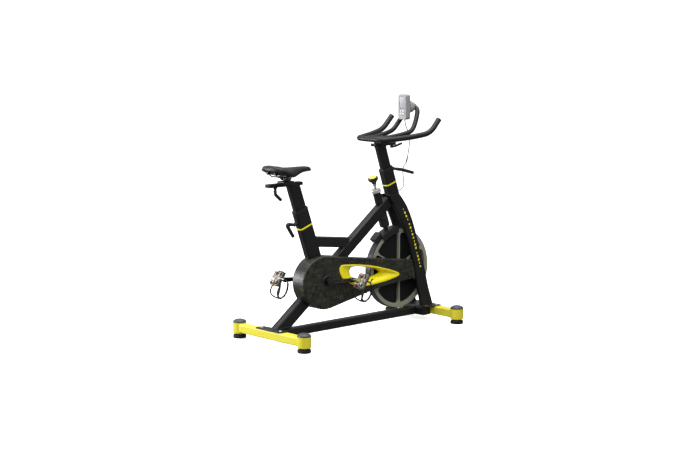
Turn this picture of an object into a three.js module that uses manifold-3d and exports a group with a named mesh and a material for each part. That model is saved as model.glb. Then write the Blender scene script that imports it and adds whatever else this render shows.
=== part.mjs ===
// Indoor cycling bike (spin bike), millimetres, +X forward, +Y rider's left, +Z up.
// Origin on the floor at the middle of the footprint.
import * as THREE from 'three';
import { mergeVertices } from 'three/addons/utils/BufferGeometryUtils.js';
import Module from 'manifold-3d';
const wasm = await Module();
wasm.setup();

// ---------------------------------------------------------------- dimensions
const LENGTH = 1250;              // overall, foot to foot
const WIDTH = 620;                // overall, across the stabilisers
const HEIGHT = 1320;              // floor to the top of the console
const FOOT_R = 38;                // round stabiliser end
const FOOT_X = LENGTH / 2 - FOOT_R;
const FOOT_Y = WIDTH / 2 - FOOT_R;
const BAR_Z0 = 34, BAR_Z1 = 82, BAR_W = 56;   // stabiliser tube
const END_Z0 = 27, END_Z1 = 87;               // round stabiliser end
const GAP = 0.3;                  // clearance between touching pieces
const BB = [-236, 0, 318];        // crank spindle
const HUB = [365, 0, 320];        // flywheel spindle
const CRANK_LEN = 180, CRANK_DEG = -3.5;
const PEDAL_Y = 150;
const PEDAL_TILT = -55;            // degrees about Y: the clip side leans back, the cage hangs
const PULLEY_R = 100, SMALL_PULLEY_R = 28, BELT_Y0 = -50, BELT_Y1 = -36, BELT_T = 3;
const FLY_R = 232, FLY_HALF = 22.5;
const SEAT_TOP = [-378.5, 0, 725.5], SEAT_LEAN = 19.6;   // mouth of the seat tube
const HEAD_TOP = [273, 0, 906], HEAD_LEAN = 18.6;        // mouth of the head tube
const SEAT_TUBE = [48, 92], SEAT_POST = [36, 76];        // lateral x fore-aft
const HEAD_TUBE = [52, 78], BAR_POST = [34, 64];
const SEAT_RAIL_Z = [861.8, 879.8];
const BAR_RAIL_Z = [1036, 1050];
const COVER_Y0 = -68, COVER_SPLIT = -31.2, COVER_BACK = -28, COVER_FAR = 28, WALL = 3;
const BAR_R = 16, HORN_R = 14;
const ROD_AT = [202, 0, 770], ROD_R = 5.5;               // resistance rod axis
const CABLE_R = 2.5;
const TUBE_WALL = 2;               // steel tube wall
const SLOT = 0.5;                 // clearance left where one frame tube is coped round another

// ---------------------------------------------------------------- helpers
const V = (p) => new THREE.Vector3(p[0], p[1], p[2]);
const rad = (d) => d * Math.PI / 180;
const along = (p, u, s) => [p[0] + u[0] * s, p[1] + u[1] * s, p[2] + u[2] * s];
const lean = (d) => [-Math.sin(rad(d)), 0, Math.cos(rad(d))];
const US = lean(SEAT_LEAN), UH = lean(HEAD_LEAN);

function solid(g) {
  let h = g.clone();
  if (h.attributes.normal) h.deleteAttribute('normal');
  if (h.attributes.uv) h.deleteAttribute('uv');
  h = mergeVertices(h, 1e-3);
  const src = h.index.array, keep = [];
  for (let i = 0; i < src.length; i += 3) {
    const a = src[i], b = src[i + 1], c = src[i + 2];
    if (a !== b && b !== c && a !== c) keep.push(a, b, c);
  }
  return new wasm.Manifold(new wasm.Mesh({ numProp: 3, vertProperties: new Float32Array(h.attributes.position.array), triVerts: new Uint32Array(keep) }));
}
function geometry(m) {
  const mesh = m.getMesh(), g = new THREE.BufferGeometry();
  g.setAttribute('position', new THREE.BufferAttribute(new Float32Array(mesh.vertProperties), 3));
  g.setIndex(new THREE.BufferAttribute(new Uint32Array(mesh.triVerts), 1));
  return g;
}
const join = (...s) => s.flat().reduce((a, b) => a.add(b));
const cut = (a, ...s) => s.flat().reduce((x, b) => x.subtract(b), a);
// rounded rectangle, width along x, height along y
function rrect(w, h, r, n = 3) {
  const pts = [], cx = w / 2 - r, cy = h / 2 - r;
  for (const [sx, sy, a0] of [[1, 1, 0], [-1, 1, 90], [-1, -1, 180], [1, -1, 270]])
    for (let i = 0; i <= n; i++) { const a = rad(a0 + 90 * i / n); pts.push(new THREE.Vector2(sx * cx + r * Math.cos(a), sy * cy + r * Math.sin(a))); }
  return new THREE.Shape(pts);
}
const circle = (r, n) => new THREE.Shape(Array.from({ length: n }, (_, i) => new THREE.Vector2(r * Math.cos(2 * Math.PI * i / n), r * Math.sin(2 * Math.PI * i / n))));
// straight bar of rounded-rectangle section: w across (Y), h the other way
function bar(p0, p1, w, h, r = 6, n = 3) {
  const d = V(p1).sub(V(p0)), L = d.length(), z = d.normalize();
  const side = Math.abs(z.y) > 0.9 ? new THREE.Vector3(1, 0, 0) : new THREE.Vector3(0, 1, 0);
  const x = side.clone().sub(z.clone().multiplyScalar(side.dot(z))).normalize(), y = z.clone().cross(x);
  const g = new THREE.ExtrudeGeometry(rrect(w, h, Math.min(r, w / 2 - 0.01, h / 2 - 0.01), n), { depth: L, bevelEnabled: false, steps: 1 });
  g.applyMatrix4(new THREE.Matrix4().makeBasis(x, y, z).setPosition(V(p0)));
  return solid(g);
}
function cyl(p0, p1, r, n = 14, r2 = r) {
  const d = V(p1).sub(V(p0)), L = d.length();
  const g = new THREE.CylinderGeometry(r2, r, L, n, 1);
  g.translate(0, L / 2, 0);
  g.applyQuaternion(new THREE.Quaternion().setFromUnitVectors(new THREE.Vector3(0, 1, 0), d.normalize()));
  g.translate(...p0);
  return solid(g);
}
// turned part: profile [radius, height] along dir from p0
function turned(profile, p0, dir, n = 18) {
  const g = new THREE.LatheGeometry(profile.map(([r, h]) => new THREE.Vector2(r, h)), n);
  g.applyQuaternion(new THREE.Quaternion().setFromUnitVectors(new THREE.Vector3(0, 1, 0), V(dir).normalize()));
  g.translate(...p0);
  const s = solid(g);
  return s.volume() < 0 ? solid(flip(g)) : s;
}
function flip(g) {
  const h = g.clone(), a = h.index.array;
  for (let i = 0; i < a.length; i += 3) { const t = a[i]; a[i] = a[i + 2]; a[i + 2] = t; }
  return h;
}
// outline in the XZ plane pulled along Y
function plateXZ(pts, y0, y1) {
  const g = new THREE.ExtrudeGeometry(new THREE.Shape(pts.map(([x, z]) => new THREE.Vector2(x, z))), { depth: y1 - y0, bevelEnabled: false, steps: 1 });
  g.rotateX(Math.PI / 2);
  g.translate(0, y1, 0);
  return solid(g);
}
function plateXY(pts, z0, z1) {
  const g = new THREE.ExtrudeGeometry(new THREE.Shape(pts.map(([x, y]) => new THREE.Vector2(x, y))), { depth: z1 - z0, bevelEnabled: false, steps: 1 });
  g.translate(0, 0, z0);
  return solid(g);
}
const box = (x0, x1, y0, y1, z0, z1) => { const g = new THREE.BoxGeometry(x1 - x0, y1 - y0, z1 - z0); g.translate((x0 + x1) / 2, (y0 + y1) / 2, (z0 + z1) / 2); return solid(g); };
const rbox = (x0, x1, y0, y1, z0, z1, r, n = 2) => { const g = new THREE.ExtrudeGeometry(rrect(x1 - x0, y1 - y0, r, n), { depth: z1 - z0, bevelEnabled: false, steps: 1 }); g.translate((x0 + x1) / 2, (y0 + y1) / 2, z0); return solid(g); };
// points with rounded corners, then a tube of n sides along them
function rounded(pts, r, n = 4) {
  const out = [V(pts[0])];
  for (let i = 1; i < pts.length - 1; i++) {
    const p = V(pts[i]), a = V(pts[i - 1]).sub(p), b = V(pts[i + 1]).sub(p);
    const t = Math.min(r, a.length() * 0.45, b.length() * 0.45);
    const q0 = p.clone().add(a.normalize().multiplyScalar(t)), q1 = p.clone().add(b.normalize().multiplyScalar(t));
    for (let k = 0; k <= n; k++) { const s = k / n; out.push(q0.clone().multiplyScalar((1 - s) * (1 - s)).add(p.clone().multiplyScalar(2 * s * (1 - s))).add(q1.clone().multiplyScalar(s * s))); }
  }
  out.push(V(pts[pts.length - 1]));
  return out;
}
function tube(pts, r, sides = 12, steps = 40, bend = 0) {
  const curve = new THREE.CatmullRomCurve3(bend ? rounded(pts, bend) : pts.map(V), false, 'centripetal');
  return solid(new THREE.ExtrudeGeometry(circle(r, sides), { steps, extrudePath: curve, bevelEnabled: false }));
}
// skin over a row of equal-count closed sections
function loft(sections) {
  const n = sections[0].length, m = sections.length, pos = [], idx = [];
  for (const s of sections) for (const p of s) pos.push(...p);
  for (let i = 0; i < m - 1; i++) for (let j = 0; j < n; j++) {
    const a = i * n + j, b = i * n + (j + 1) % n, c = a + n, d = b + n;
    idx.push(a, b, d, a, d, c);
  }
  for (const [k, rev] of [[0, true], [m - 1, false]]) {
    const s = sections[k], c = [0, 1, 2].map(q => s.reduce((t, p) => t + p[q], 0) / n), ci = pos.length / 3;
    pos.push(...c);
    for (let j = 0; j < n; j++) { const a = k * n + j, b = k * n + (j + 1) % n; if (rev) idx.push(ci, b, a); else idx.push(ci, a, b); }
  }
  const g = new THREE.BufferGeometry();
  g.setAttribute('position', new THREE.Float32BufferAttribute(pos, 3));
  g.setIndex(idx);
  const s = solid(g);
  return s.volume() < 0 ? solid(flip(g)) : s;
}
const spline2 = (pts, n) => new THREE.SplineCurve(pts.map(p => new THREE.Vector2(...p))).getPoints(n).map(p => [p.x, p.y]);
const arc2 = (cx, cz, r, a0, a1, n) => Array.from({ length: n + 1 }, (_, i) => { const a = rad(a0 + (a1 - a0) * i / n); return [cx + r * Math.cos(a), cz + r * Math.sin(a)]; });
const mirror = (s) => s.mirror([0, 1, 0]);
const largest = (s) => s.decompose().sort((a, b) => b.volume() - a.volume())[0];

// ---------------------------------------------------------------- materials
const paint = (c, r, m) => new THREE.MeshStandardMaterial({ color: c, roughness: r, metalness: m });
const M = {
  yellow: paint(0xe9dd2c, 0.38, 0.1), black: paint(0x1b1b1d, 0.5, 0.2), plastic: paint(0x202022, 0.6, 0),
  cap: paint(0x3b3b3d, 0.55, 0), rubber: paint(0x141414, 0.85, 0), steel: paint(0xb9babc, 0.3, 0.9),
  iron: paint(0x4a4a4c, 0.45, 0.8), pad: paint(0x242426, 0.7, 0), grey: paint(0xa3a5a7, 0.55, 0), key: paint(0xe6e7e8, 0.5, 0),
  cover: paint(0x222220, 0.5, 0), belt: paint(0x101010, 0.8, 0), cable: paint(0xc9cacb, 0.6, 0),
};
const bike = new THREE.Group();
const assembly = (x, y, z) => { const g = new THREE.Group(); g.position.set(x, y, z); bike.add(g); return g; };
const frameG = assembly(0, 0, 0), baseG = assembly(0, 0, 0), crankG = assembly(...BB), wheelG = assembly(...HUB);
const seatG = assembly(...SEAT_TOP), barG = assembly(...HEAD_TOP), brakeG = assembly(...ROD_AT);
function put(group, name, s, mat, at = [group.position.x, group.position.y, group.position.z]) {
  const g = geometry(s);
  g.translate(-at[0], -at[1], -at[2]);
  const m = new THREE.Mesh(g, mat);
  m.name = name;
  m.position.set(at[0] - group.position.x, at[1] - group.position.y, at[2] - group.position.z);
  group.add(m);
}

// ---------------------------------------------------------------- base: stabilisers, feet, caps
for (const [end, sx] of [['rear', -1], ['front', 1]]) {
  const x = sx * FOOT_X;
  let s = bar([x, -FOOT_Y, (BAR_Z0 + BAR_Z1) / 2], [x, FOOT_Y, (BAR_Z0 + BAR_Z1) / 2], BAR_W, BAR_Z1 - BAR_Z0, 6);
  for (const sy of [-1, 1]) s = join(s, cyl([x, sy * FOOT_Y, END_Z0], [x, sy * FOOT_Y, END_Z1], FOOT_R, 20));
  s = cut(s, bar([x, -FOOT_Y + 8, (BAR_Z0 + BAR_Z1) / 2], [x, FOOT_Y - 8, (BAR_Z0 + BAR_Z1) / 2], BAR_W - 2 * TUBE_WALL, BAR_Z1 - BAR_Z0 - 2 * TUBE_WALL, 3, 1));
  for (const sy of [-1, 1]) s = join(s, cyl([x, sy * FOOT_Y, END_Z0], [x, sy * FOOT_Y, END_Z0 + 44], 12, 10));
  for (const sy of [-1, 1]) s = cut(s, cyl([x, sy * FOOT_Y, END_Z0 - 1], [x, sy * FOOT_Y, END_Z0 + 42], 7.5, 10), cyl([x, sy * FOOT_Y, END_Z1 - 12], [x, sy * FOOT_Y, END_Z1 + 1], 33, 12));
  put(baseG, end + '_stabilizer', s, M.yellow, [x, 0, 0]);
  for (const [side, sy] of [['right', -1], ['left', 1]]) {
    const y = sy * FOOT_Y;
    put(baseG, `${end}_cap_${side}`, turned([[0, -9], [30.5, -9], [30.5, GAP], [FOOT_R, GAP], [FOOT_R, 5], [33, 13], [19, 18.8], [0, 20.5]], [x, y, END_Z1], [0, 0, 1], 14), M.cap, [x, y, END_Z1]);
    put(baseG, `${end}_foot_${side}`, turned([[0, 0], [34, 0], [37, 3], [37, 16], [30, 22], [16, 23], [16, 26.4], [7, 26.4], [7, 66], [0, 66]], [x, y, 0], [0, 0, 1], 14), M.rubber, [x, y, 0]);
  }
}
const REAR_BAR = bar([-FOOT_X, -200, (BAR_Z0 + BAR_Z1) / 2], [-FOOT_X, 200, (BAR_Z0 + BAR_Z1) / 2], BAR_W + 2 * GAP, BAR_Z1 - BAR_Z0 + 2 * GAP, 6);
const RAIL_X0 = -FOOT_X + BAR_W / 2 + GAP, RAIL_X1 = 496;
put(frameG, 'base_rail', cut(bar([RAIL_X0, 0, 54], [RAIL_X1, 0, 54], 52, 46, 9), bar([RAIL_X0 - 5, 0, 54], [RAIL_X1 + 5, 0, 54], 52 - 2 * TUBE_WALL, 46 - 2 * TUBE_WALL, 6, 2)), M.black, [0, 0, 54]);
const frontBracket = join(
  rbox(RAIL_X1 + GAP, FOOT_X - BAR_W / 2 - GAP, -86, 86, 32, 84, 3),
  rbox(RAIL_X1 + GAP, FOOT_X + BAR_W / 2 + 1, -122, 122, BAR_Z1 + GAP, BAR_Z1 + 6, 6),
  cyl([FOOT_X, -106, BAR_Z1 + 5], [FOOT_X, -106, BAR_Z1 + 11], 8, 6), cyl([FOOT_X, 106, BAR_Z1 + 5], [FOOT_X, 106, BAR_Z1 + 11], 8, 6));
put(frameG, 'front_mount_bracket', frontBracket, M.black, [FOOT_X, 0, BAR_Z1]);

// ---------------------------------------------------------------- frame tubes
const seatBot = along(SEAT_TOP, US, -404), legDir = [0.8, 0, 0.6], legAt = [-518.5, 0, 85];
const diagDir = [0.7966, 0, 0.6045], diagAt = [100, 0, 572.6], DIAG = [48, 64];
const bbShell = cut(cyl([BB[0], -34, BB[2]], [BB[0], 34, BB[2]], 27, 20), cyl([BB[0], -40, BB[2]], [BB[0], 40, BB[2]], 10.5, 14));
const bbGrown = cyl([BB[0], -34.3, BB[2]], [BB[0], 34.3, BB[2]], 27.6, 20);
put(frameG, 'bottom_bracket_shell', bbShell, M.iron, BB);
const seatOuter = (g) => bar(along(SEAT_TOP, US, g ? 2 : 0), along(seatBot, US, -g), SEAT_TUBE[0] + 2 * g, SEAT_TUBE[1] + 2 * g, 14 + g, 3);
const seatLeverAt = along(along(SEAT_TOP, US, -64), [-US[2], 0, US[0]], SEAT_TUBE[1] / 2);   // rear face of the seat tube
const backS = [-US[2], 0, US[0]];
let seatTube = join(seatOuter(0), cyl(along(seatLeverAt, backS, -4), along(seatLeverAt, backS, 9), 13, 18));
seatTube = cut(seatTube, bar(along(SEAT_TOP, US, 5), along(SEAT_TOP, US, -330), SEAT_POST[0] + 1.4, SEAT_POST[1] + 1.4, 8, 3), bbGrown,
  cyl(along(seatLeverAt, backS, -2), along(seatLeverAt, backS, 20), 6.6, 14));
put(frameG, 'seat_tube', seatTube, M.black, SEAT_TOP);
const legSolid = (g) => bar(along(legAt, legDir, -60), along(legAt, legDir, 352 + g), 50 + 2 * g, 82 + 2 * g, 20 + g, 3);
const railTop = box(-560, 600, -40, 40, 0, 77 + GAP);
const rearLeg = cut(join(cut(legSolid(0), box(-700, 0, -50, 50, 0, 77 + GAP)), rbox(-FOOT_X - 29, -FOOT_X + 33, -106, 106, BAR_Z1 + GAP, BAR_Z1 + 5, 5),
  cyl([-FOOT_X, -78, BAR_Z1 + 4], [-FOOT_X, -78, BAR_Z1 + 11], 9, 6), cyl([-FOOT_X, 78, BAR_Z1 + 4], [-FOOT_X, 78, BAR_Z1 + 11], 9, 6)), REAR_BAR, bbGrown, seatOuter(SLOT), bar(along(legAt, legDir, 40), along(legAt, legDir, 360), 50 - 2 * TUBE_WALL, 82 - 2 * TUBE_WALL, 17, 2));
put(frameG, 'rear_leg', largest(rearLeg), M.black, legAt);
const diagOuter = (g) => bar(along(diagAt, diagDir, -450), along(diagAt, diagDir, 262), DIAG[0] + 2 * g, DIAG[1] + 2 * g, 7 + g, 2);

// fork legs: [z, rear x, front x, outer y]
const FORK_T = 24;
const forkRows = [[88.4, 494, 588, 81], [190, 473, 557, 75], [320, 448, 527, 67.5], [389, 431, 505, 63.5], [475, 408, 481, 59], [555, 377, 458, 54.5], [620, 345, 434, 50.5], [690, 303, 400, 44.5], [752, 263, 352, 41.6]];
function forkSections(g) {
  return forkRows.map(([z, xr, xf, yo], i) => {
    const c = (xr + xf) / 2, w = xf - xr + 2 * g, yc = yo - FORK_T / 2, zz = i === 0 ? z - g : i === forkRows.length - 1 ? z + g : z;
    return rrect(w, FORK_T + 2 * g, 8, 1).getPoints().map(p => [c + p.x, -yc + p.y, zz]);
  });
}
const headOuter = (g) => cut(bar(along(HEAD_TOP, UH, g ? 2 : 0), along(HEAD_TOP, UH, -230), HEAD_TUBE[0] + 2 * g, HEAD_TUBE[1] + 2 * g, 13 + g, 3), box(100, 600, -60, 60, 500, 752 + GAP - g));
const headFwd = [UH[2], 0, -UH[0]];
const barLeverAt = along(along(HEAD_TOP, UH, -26), headFwd, HEAD_TUBE[1] / 2);
let headTube = join(headOuter(0), cyl(along(barLeverAt, headFwd, -4), along(barLeverAt, headFwd, 9), 13, 18));
headTube = cut(headTube, bar(along(HEAD_TOP, UH, 5), along(HEAD_TOP, UH, -190), BAR_POST[0] + 1.4, BAR_POST[1] + 1.4, 8, 3),
  cyl(along(barLeverAt, headFwd, -2), along(barLeverAt, headFwd, 20), 6.6, 14));
put(frameG, 'head_tube', headTube, M.black, HEAD_TOP);
// spindle plate that carries the flywheel spindle behind the leg
const dropout = (g, y0, y1) => cut(plateXZ([...arc2(HUB[0], HUB[2], 22 + g, 60, 300, 14), [470, 290 - g], [466, 352 + g]], y0, y1), cyl([HUB[0], -120, HUB[2]], [HUB[0], 120, HUB[2]], 8.4, 16));
const legR = cut(loft(forkSections(0)), loft(forkSections(-TUBE_WALL).slice(1).concat([forkSections(-TUBE_WALL).at(-1).map(([x, y, z]) => [x, y, z + 8])])));
const forkR = join(legR, dropout(0, -57, -52));
put(frameG, 'fork_leg_right', forkR, M.black, [0, 0, 0]);
put(frameG, 'fork_leg_left', mirror(forkR), M.black, [0, 0, 0]);
const legGrown = loft(forkSections(GAP)), legGrownL = mirror(legGrown);
// resistance rod, guide tube and magnet housing share one axis
const RU = UH;
const guideG = cyl(along(ROD_AT, RU, -120), along(ROD_AT, RU, 2), 23 + GAP, 28);
const postPath = bar(along(HEAD_TOP, UH, 40), along(HEAD_TOP, UH, -330), BAR_POST[0] + 2.4, BAR_POST[1] + 2.4, 8, 2);
let diagonal = cut(diagOuter(0), bar(along(diagAt, diagDir, -460), along(diagAt, diagDir, 200), DIAG[0] - 2 * TUBE_WALL, DIAG[1] - 2 * TUBE_WALL, 4, 1), seatOuter(SLOT), bbGrown, legSolid(SLOT), headOuter(SLOT), legGrown, legGrownL, postPath, box(303, 500, -60, 60, 500, 900), cyl(along(ROD_AT, RU, -260), along(ROD_AT, RU, 60), 8, 18));
put(frameG, 'diagonal_tube', largest(diagonal), M.black, diagAt);
const topTube = cut(bar([-290, 0, 539.5], [-30, 0, 508.5], 44, 58, 7), bar([-300, 0, 540.7], [-20, 0, 507.3], 38, 52, 4, 1), seatOuter(SLOT), diagOuter(SLOT));
put(frameG, 'top_tube', largest(topTube), M.black, [-160, 0, 524]);

// ---------------------------------------------------------------- belt cover
const coverOutline = [
  ...spline2([[-200, 453], [-264, 458.5], [-330, 445], [-376, 411], [-405, 364], [-412, 316], [-403, 268], [-375, 221], [-325, 183], [-264, 162], [-205, 163.5]], 16),
  [-190, 166.5], [150, 232], [190, 238.5], [250, 244], [330, 250], [454, 261], [446, 300], [432, 350], [427, 367.5], [216, 396], [-190, 451.6]];
const inset = (pts, d) => {   // simple inward offset of a clockwise or anticlockwise outline
  const n = pts.length, area = pts.reduce((s, p, i) => { const q = pts[(i + 1) % n]; return s + p[0] * q[1] - q[0] * p[1]; }, 0), sg = area > 0 ? 1 : -1;
  return pts.map((p, i) => {
    const a = pts[(i + n - 1) % n], b = pts[(i + 1) % n];
    const e0 = new THREE.Vector2(p[0] - a[0], p[1] - a[1]).normalize(), e1 = new THREE.Vector2(b[0] - p[0], b[1] - p[1]).normalize();
    const n0 = [-e0.y * sg, e0.x * sg], n1 = [-e1.y * sg, e1.x * sg], k = 1 + n0[0] * n1[0] + n0[1] * n1[1];
    return [p[0] + d * (n0[0] + n1[0]) / k, p[1] + d * (n0[1] + n1[1]) / k];
  });
};
// window: outer edge of the trim on the face, and the through hole behind it
const windowOuter = spline2([[-141, 349], [-147, 373], [-137, 392], [-113, 397], [0, 386], [125, 363], [243, 330], [309, 306], [318, 294], [300, 283], [217, 268], [126, 260], [20, 257], [-8, 261], [-70, 287], [-122, 321], [-141, 349]], 24).slice(0, -1);
const windowHole = spline2([[-37, 350], [-26, 366], [-2, 370], [52, 364], [152, 341], [186, 323], [190, 317], [172, 309], [126, 298], [52, 298], [-8, 310], [-31, 328], [-37, 350]], 24).slice(0, -1);
const coverR0 = plateXZ(coverOutline, COVER_Y0, COVER_SPLIT);
const coverRin = plateXZ(inset(coverOutline, WALL), COVER_Y0 + WALL, COVER_SPLIT + 1);
// softened front edge: shallow step on the face
const coverR = cut(coverR0, coverRin, plateXZ(inset(windowOuter, 4), COVER_Y0 - 2, COVER_Y0 + 6), cyl([BB[0], -80, BB[2]], [BB[0], -60, BB[2]], 21, 24), legGrown, dropout(1, -59, -50));
put(frameG, 'belt_cover_right', coverR, M.cover, [BB[0], COVER_Y0, BB[2]]);
const bulge = [...coverOutline.filter(p => p[0] <= -62), ];
const leftClip = box(-500, -62, -200, 200, 100, 600);
const bulgeOut = plateXZ(coverOutline, COVER_SPLIT + GAP, COVER_FAR).intersect(leftClip);
const bulgeIn = plateXZ(inset(coverOutline, WALL), COVER_BACK, COVER_FAR - WALL).intersect(box(-500, -62 - WALL, -200, 200, 100, 600));
const plate = plateXZ(coverOutline, COVER_SPLIT + GAP, COVER_BACK);
const coverL = cut(join(plate, bulgeOut), bulgeIn, seatOuter(1.2), legSolid(1.2), diagOuter(1.2),
  cyl([BB[0], -50, BB[2]], [BB[0], 50, BB[2]], 28.6, 20), plateXZ(inset(windowHole, -5.6), -60, 60), cyl([HUB[0], -60, HUB[2]], [HUB[0], 0, HUB[2]], 20, 16));
put(frameG, 'belt_cover_left', coverL.decompose().sort((a, b) => b.volume() - a.volume())[0], M.cover, [BB[0], COVER_FAR, BB[2]]);
// trim: a flange on the face and a funnel wall down to the through hole
const ringLoft = (rows) => {          // rows: [outline, y], walked outside then inside, closed on itself
  const n = rows[0][0].length, m = rows.length, pos = [], idx = [];
  for (const [o, y] of rows) for (const p of o) pos.push(p[0], y, p[1]);
  for (let i = 0; i < m; i++) for (let j = 0; j < n; j++) { const a = i * n + j, b = i * n + (j + 1) % n, c = ((i + 1) % m) * n + j, d = ((i + 1) % m) * n + (j + 1) % n; idx.push(a, b, d, a, d, c); }
  const g = new THREE.BufferGeometry();
  g.setAttribute('position', new THREE.Float32BufferAttribute(pos, 3)); g.setIndex(idx);
  const s = solid(g); return s.volume() < 0 ? solid(flip(g)) : s;
};
const mixO = (a, b, t) => a.map((p, i) => [p[0] * (1 - t) + b[i][0] * t, p[1] * (1 - t) + b[i][1] * t]);
const wIn = inset(windowOuter, 8);
const trim = ringLoft([[windowOuter, COVER_Y0 - GAP], [windowOuter, COVER_Y0 - 3], [wIn, COVER_Y0 - 3.4], [mixO(wIn, windowHole, 0.45), COVER_Y0 + 4], [mixO(wIn, windowHole, 0.85), -46], [windowHole, COVER_BACK - 1],
  [inset(windowHole, -3), COVER_BACK - 1], [inset(mixO(wIn, windowHole, 0.85), -2.6), -44], [inset(mixO(wIn, windowHole, 0.45), -2.2), COVER_Y0 + 6.4], [inset(windowOuter, 5.6), COVER_Y0 + 1.6], [inset(windowOuter, 4.6), COVER_Y0 - GAP]]);
put(frameG, 'cover_window_trim', trim, M.yellow, [0, COVER_Y0, 320]);

// ---------------------------------------------------------------- crank set
const ca = rad(CRANK_DEG), crankEnd = (s) => [BB[0] + s * CRANK_LEN * Math.cos(ca), 0, BB[2] + s * CRANK_LEN * Math.sin(ca)];
put(crankG, 'crank_spindle', cyl([BB[0], -87, BB[2]], [BB[0], 87, BB[2]], 10, 14), M.steel, BB);
put(crankG, 'crank_pulley', turned([[10.4, 34.6], [24, 34.6], [24, 40], [90, 40], [91, -BELT_Y1], [PULLEY_R, -BELT_Y1], [PULLEY_R, -BELT_Y0], [91, -BELT_Y0], [90, 46], [24, 46], [24, 56], [10.4, 56], [10.4, 34.6]], [BB[0], 0, BB[2]], [0, -1, 0], 22), M.plastic, BB);
for (const [side, sy, dir] of [['right', -1, 1], ['left', 1, -1]]) {
  const e = crankEnd(dir), y0 = sy * 77, y1 = sy * 92, lo = Math.min(y0, y1), hi = Math.max(y0, y1);
  const a0 = (dir > 0 ? 0 : 180) + CRANK_DEG;
  const arm = plateXZ([...arc2(BB[0], BB[2], 20, a0 + 84, a0 + 276, 10), ...arc2(e[0], e[2], 14.5, a0 - 88, a0 + 88, 8)], lo, hi);
  const s = cut(join(arm, cyl([BB[0], sy * 73, BB[2]], [BB[0], sy * 95, BB[2]], 20, 18)), cyl([BB[0], sy * 60, BB[2]], [BB[0], sy * 87.4, BB[2]], 10.5, 14), cyl([e[0], sy * 60, e[2]], [e[0], sy * 120, e[2]], 6.9, 16));
  put(crankG, 'crank_arm_' + side, s, M.plastic, BB);
  // pedal: axle, body with a clip mechanism on the upper face
  const px = e[0], pz = e[2], Y = (a, b) => [Math.min(sy * a, sy * b), Math.max(sy * a, sy * b)];
  const [b0, b1] = Y(116, 184), [m0, m1] = Y(130, 172), [w0, w1] = Y(137, 165);
  let body = join(cyl([px, sy * 80, pz], [px, sy * 186, pz], 6.5, 16), cyl([px, sy * 96, pz], [px, sy * 118, pz], 10, 16),
    rbox(px - 45, px + 47, b0, b1, pz - 12, pz + 10, 12, 2), rbox(px - 34, px + 36, m0, m1, pz + 6, pz + 20, 8, 1),
    rbox(px + 12, px + 42, w0, w1, pz + 14, pz + 30, 5, 1), rbox(px - 40, px - 16, w0, w1, pz + 14, pz + 27, 5, 1));
  body = cut(body, rbox(px + 20, px + 38, b0 + 9, b0 + 20, pz - 20, pz + 40, 3, 1), rbox(px - 36, px - 18, b0 + 9, b0 + 20, pz - 20, pz + 40, 3, 1));
  const tilt = (s) => s.translate([-px, 0, -pz]).rotate([0, PEDAL_TILT, 0]).translate([px, 0, pz]);
  body = tilt(body);
  put(crankG, 'pedal_' + side, body, M.steel, [px, sy * PEDAL_Y, pz]);
  const at = (x, y, z) => [px + x, sy * (PEDAL_Y + y), pz + z];
  const loopA = tube([at(21, -30, 2.5), at(52, -31, -20), at(48, -30, -62), at(34, -26, -95), at(14, -17, -112), at(14, 17, -112), at(34, 26, -95), at(48, 30, -62), at(52, 31, -20), at(21, 30, 2.5)], 3.3, 5, 20, 22);
  const loopB = tube([at(-7.9, -30, -40.9), at(-26, -31, -70), at(-20, -26, -96), at(8, -17, -113), at(8, 17, -113), at(-20, 26, -96), at(-26, 31, -70), at(-7.9, 30, -40.9)], 3.3, 5, 18, 20);
  const base = join(tilt(join(rbox(px - 44, px + 50, b0 + 1, b0 + 6, pz - 16, pz - 12.4, 2, 1), rbox(px - 44, px + 50, b1 - 6, b1 - 1, pz - 16, pz - 12.4, 2, 1))), rbox(px + 4, px + 18, sy * PEDAL_Y - 20, sy * PEDAL_Y + 20, pz - 117, pz - 108, 3, 1));
  put(crankG, 'toe_cage_' + side, join(loopA, loopB, base), M.plastic, [px, sy * PEDAL_Y, pz]);
}
// belt round both pulleys
const beltLoop = (g) => {
  const d = HUB[0] - BB[0], dz = HUB[2] - BB[2], th = Math.acos((PULLEY_R - SMALL_PULLEY_R) / Math.hypot(d, dz)) * 180 / Math.PI, base = Math.atan2(dz, d) * 180 / Math.PI;
  return [...arc2(BB[0], BB[2], PULLEY_R + g, base + th, base + 360 - th, 24), ...arc2(HUB[0], HUB[2], SMALL_PULLEY_R + g, base - th, base + th, 10)];
};
put(frameG, 'drive_belt', cut(plateXZ(beltLoop(0.5 + BELT_T), BELT_Y0 + 1, BELT_Y1 - 1), plateXZ(beltLoop(0.5), BELT_Y0 - 5, BELT_Y1 + 5)), M.belt, BB);

// ---------------------------------------------------------------- flywheel
const rimPts = [[8.4, -30], [16, -30], [16, -21], [42, -21], [45, -4], [198, -4], [205, -22.5], [229, -22.5], [FLY_R, -19.5], [FLY_R, 19.5], [229, 22.5], [205, 22.5], [198, 4], [45, 4], [42, 21], [16, 21], [16, 35.7], [8.4, 35.7], [8.4, -30]];
let fly = turned(rimPts, HUB, [0, -1, 0], 28);
for (let k = 0; k < 6; k++) for (const sy of [-1, 1]) {
  const a = rad(90 + 60 * k), c = Math.cos(a), s = Math.sin(a), p = (r) => [HUB[0] + c * r, sy * 12.2, HUB[2] + s * r];
  const d = V([c, 0, s]), nrm = V([-s, 0, c]);
  const g = new THREE.BoxGeometry(170, 19.4, 9);
  g.applyMatrix4(new THREE.Matrix4().makeBasis(d, new THREE.Vector3(0, 1, 0), d.clone().cross(new THREE.Vector3(0, 1, 0))).setPosition(V(p(121))));
  fly = join(fly, solid(g));
}
put(wheelG, 'flywheel', fly, M.iron, HUB);
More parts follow.
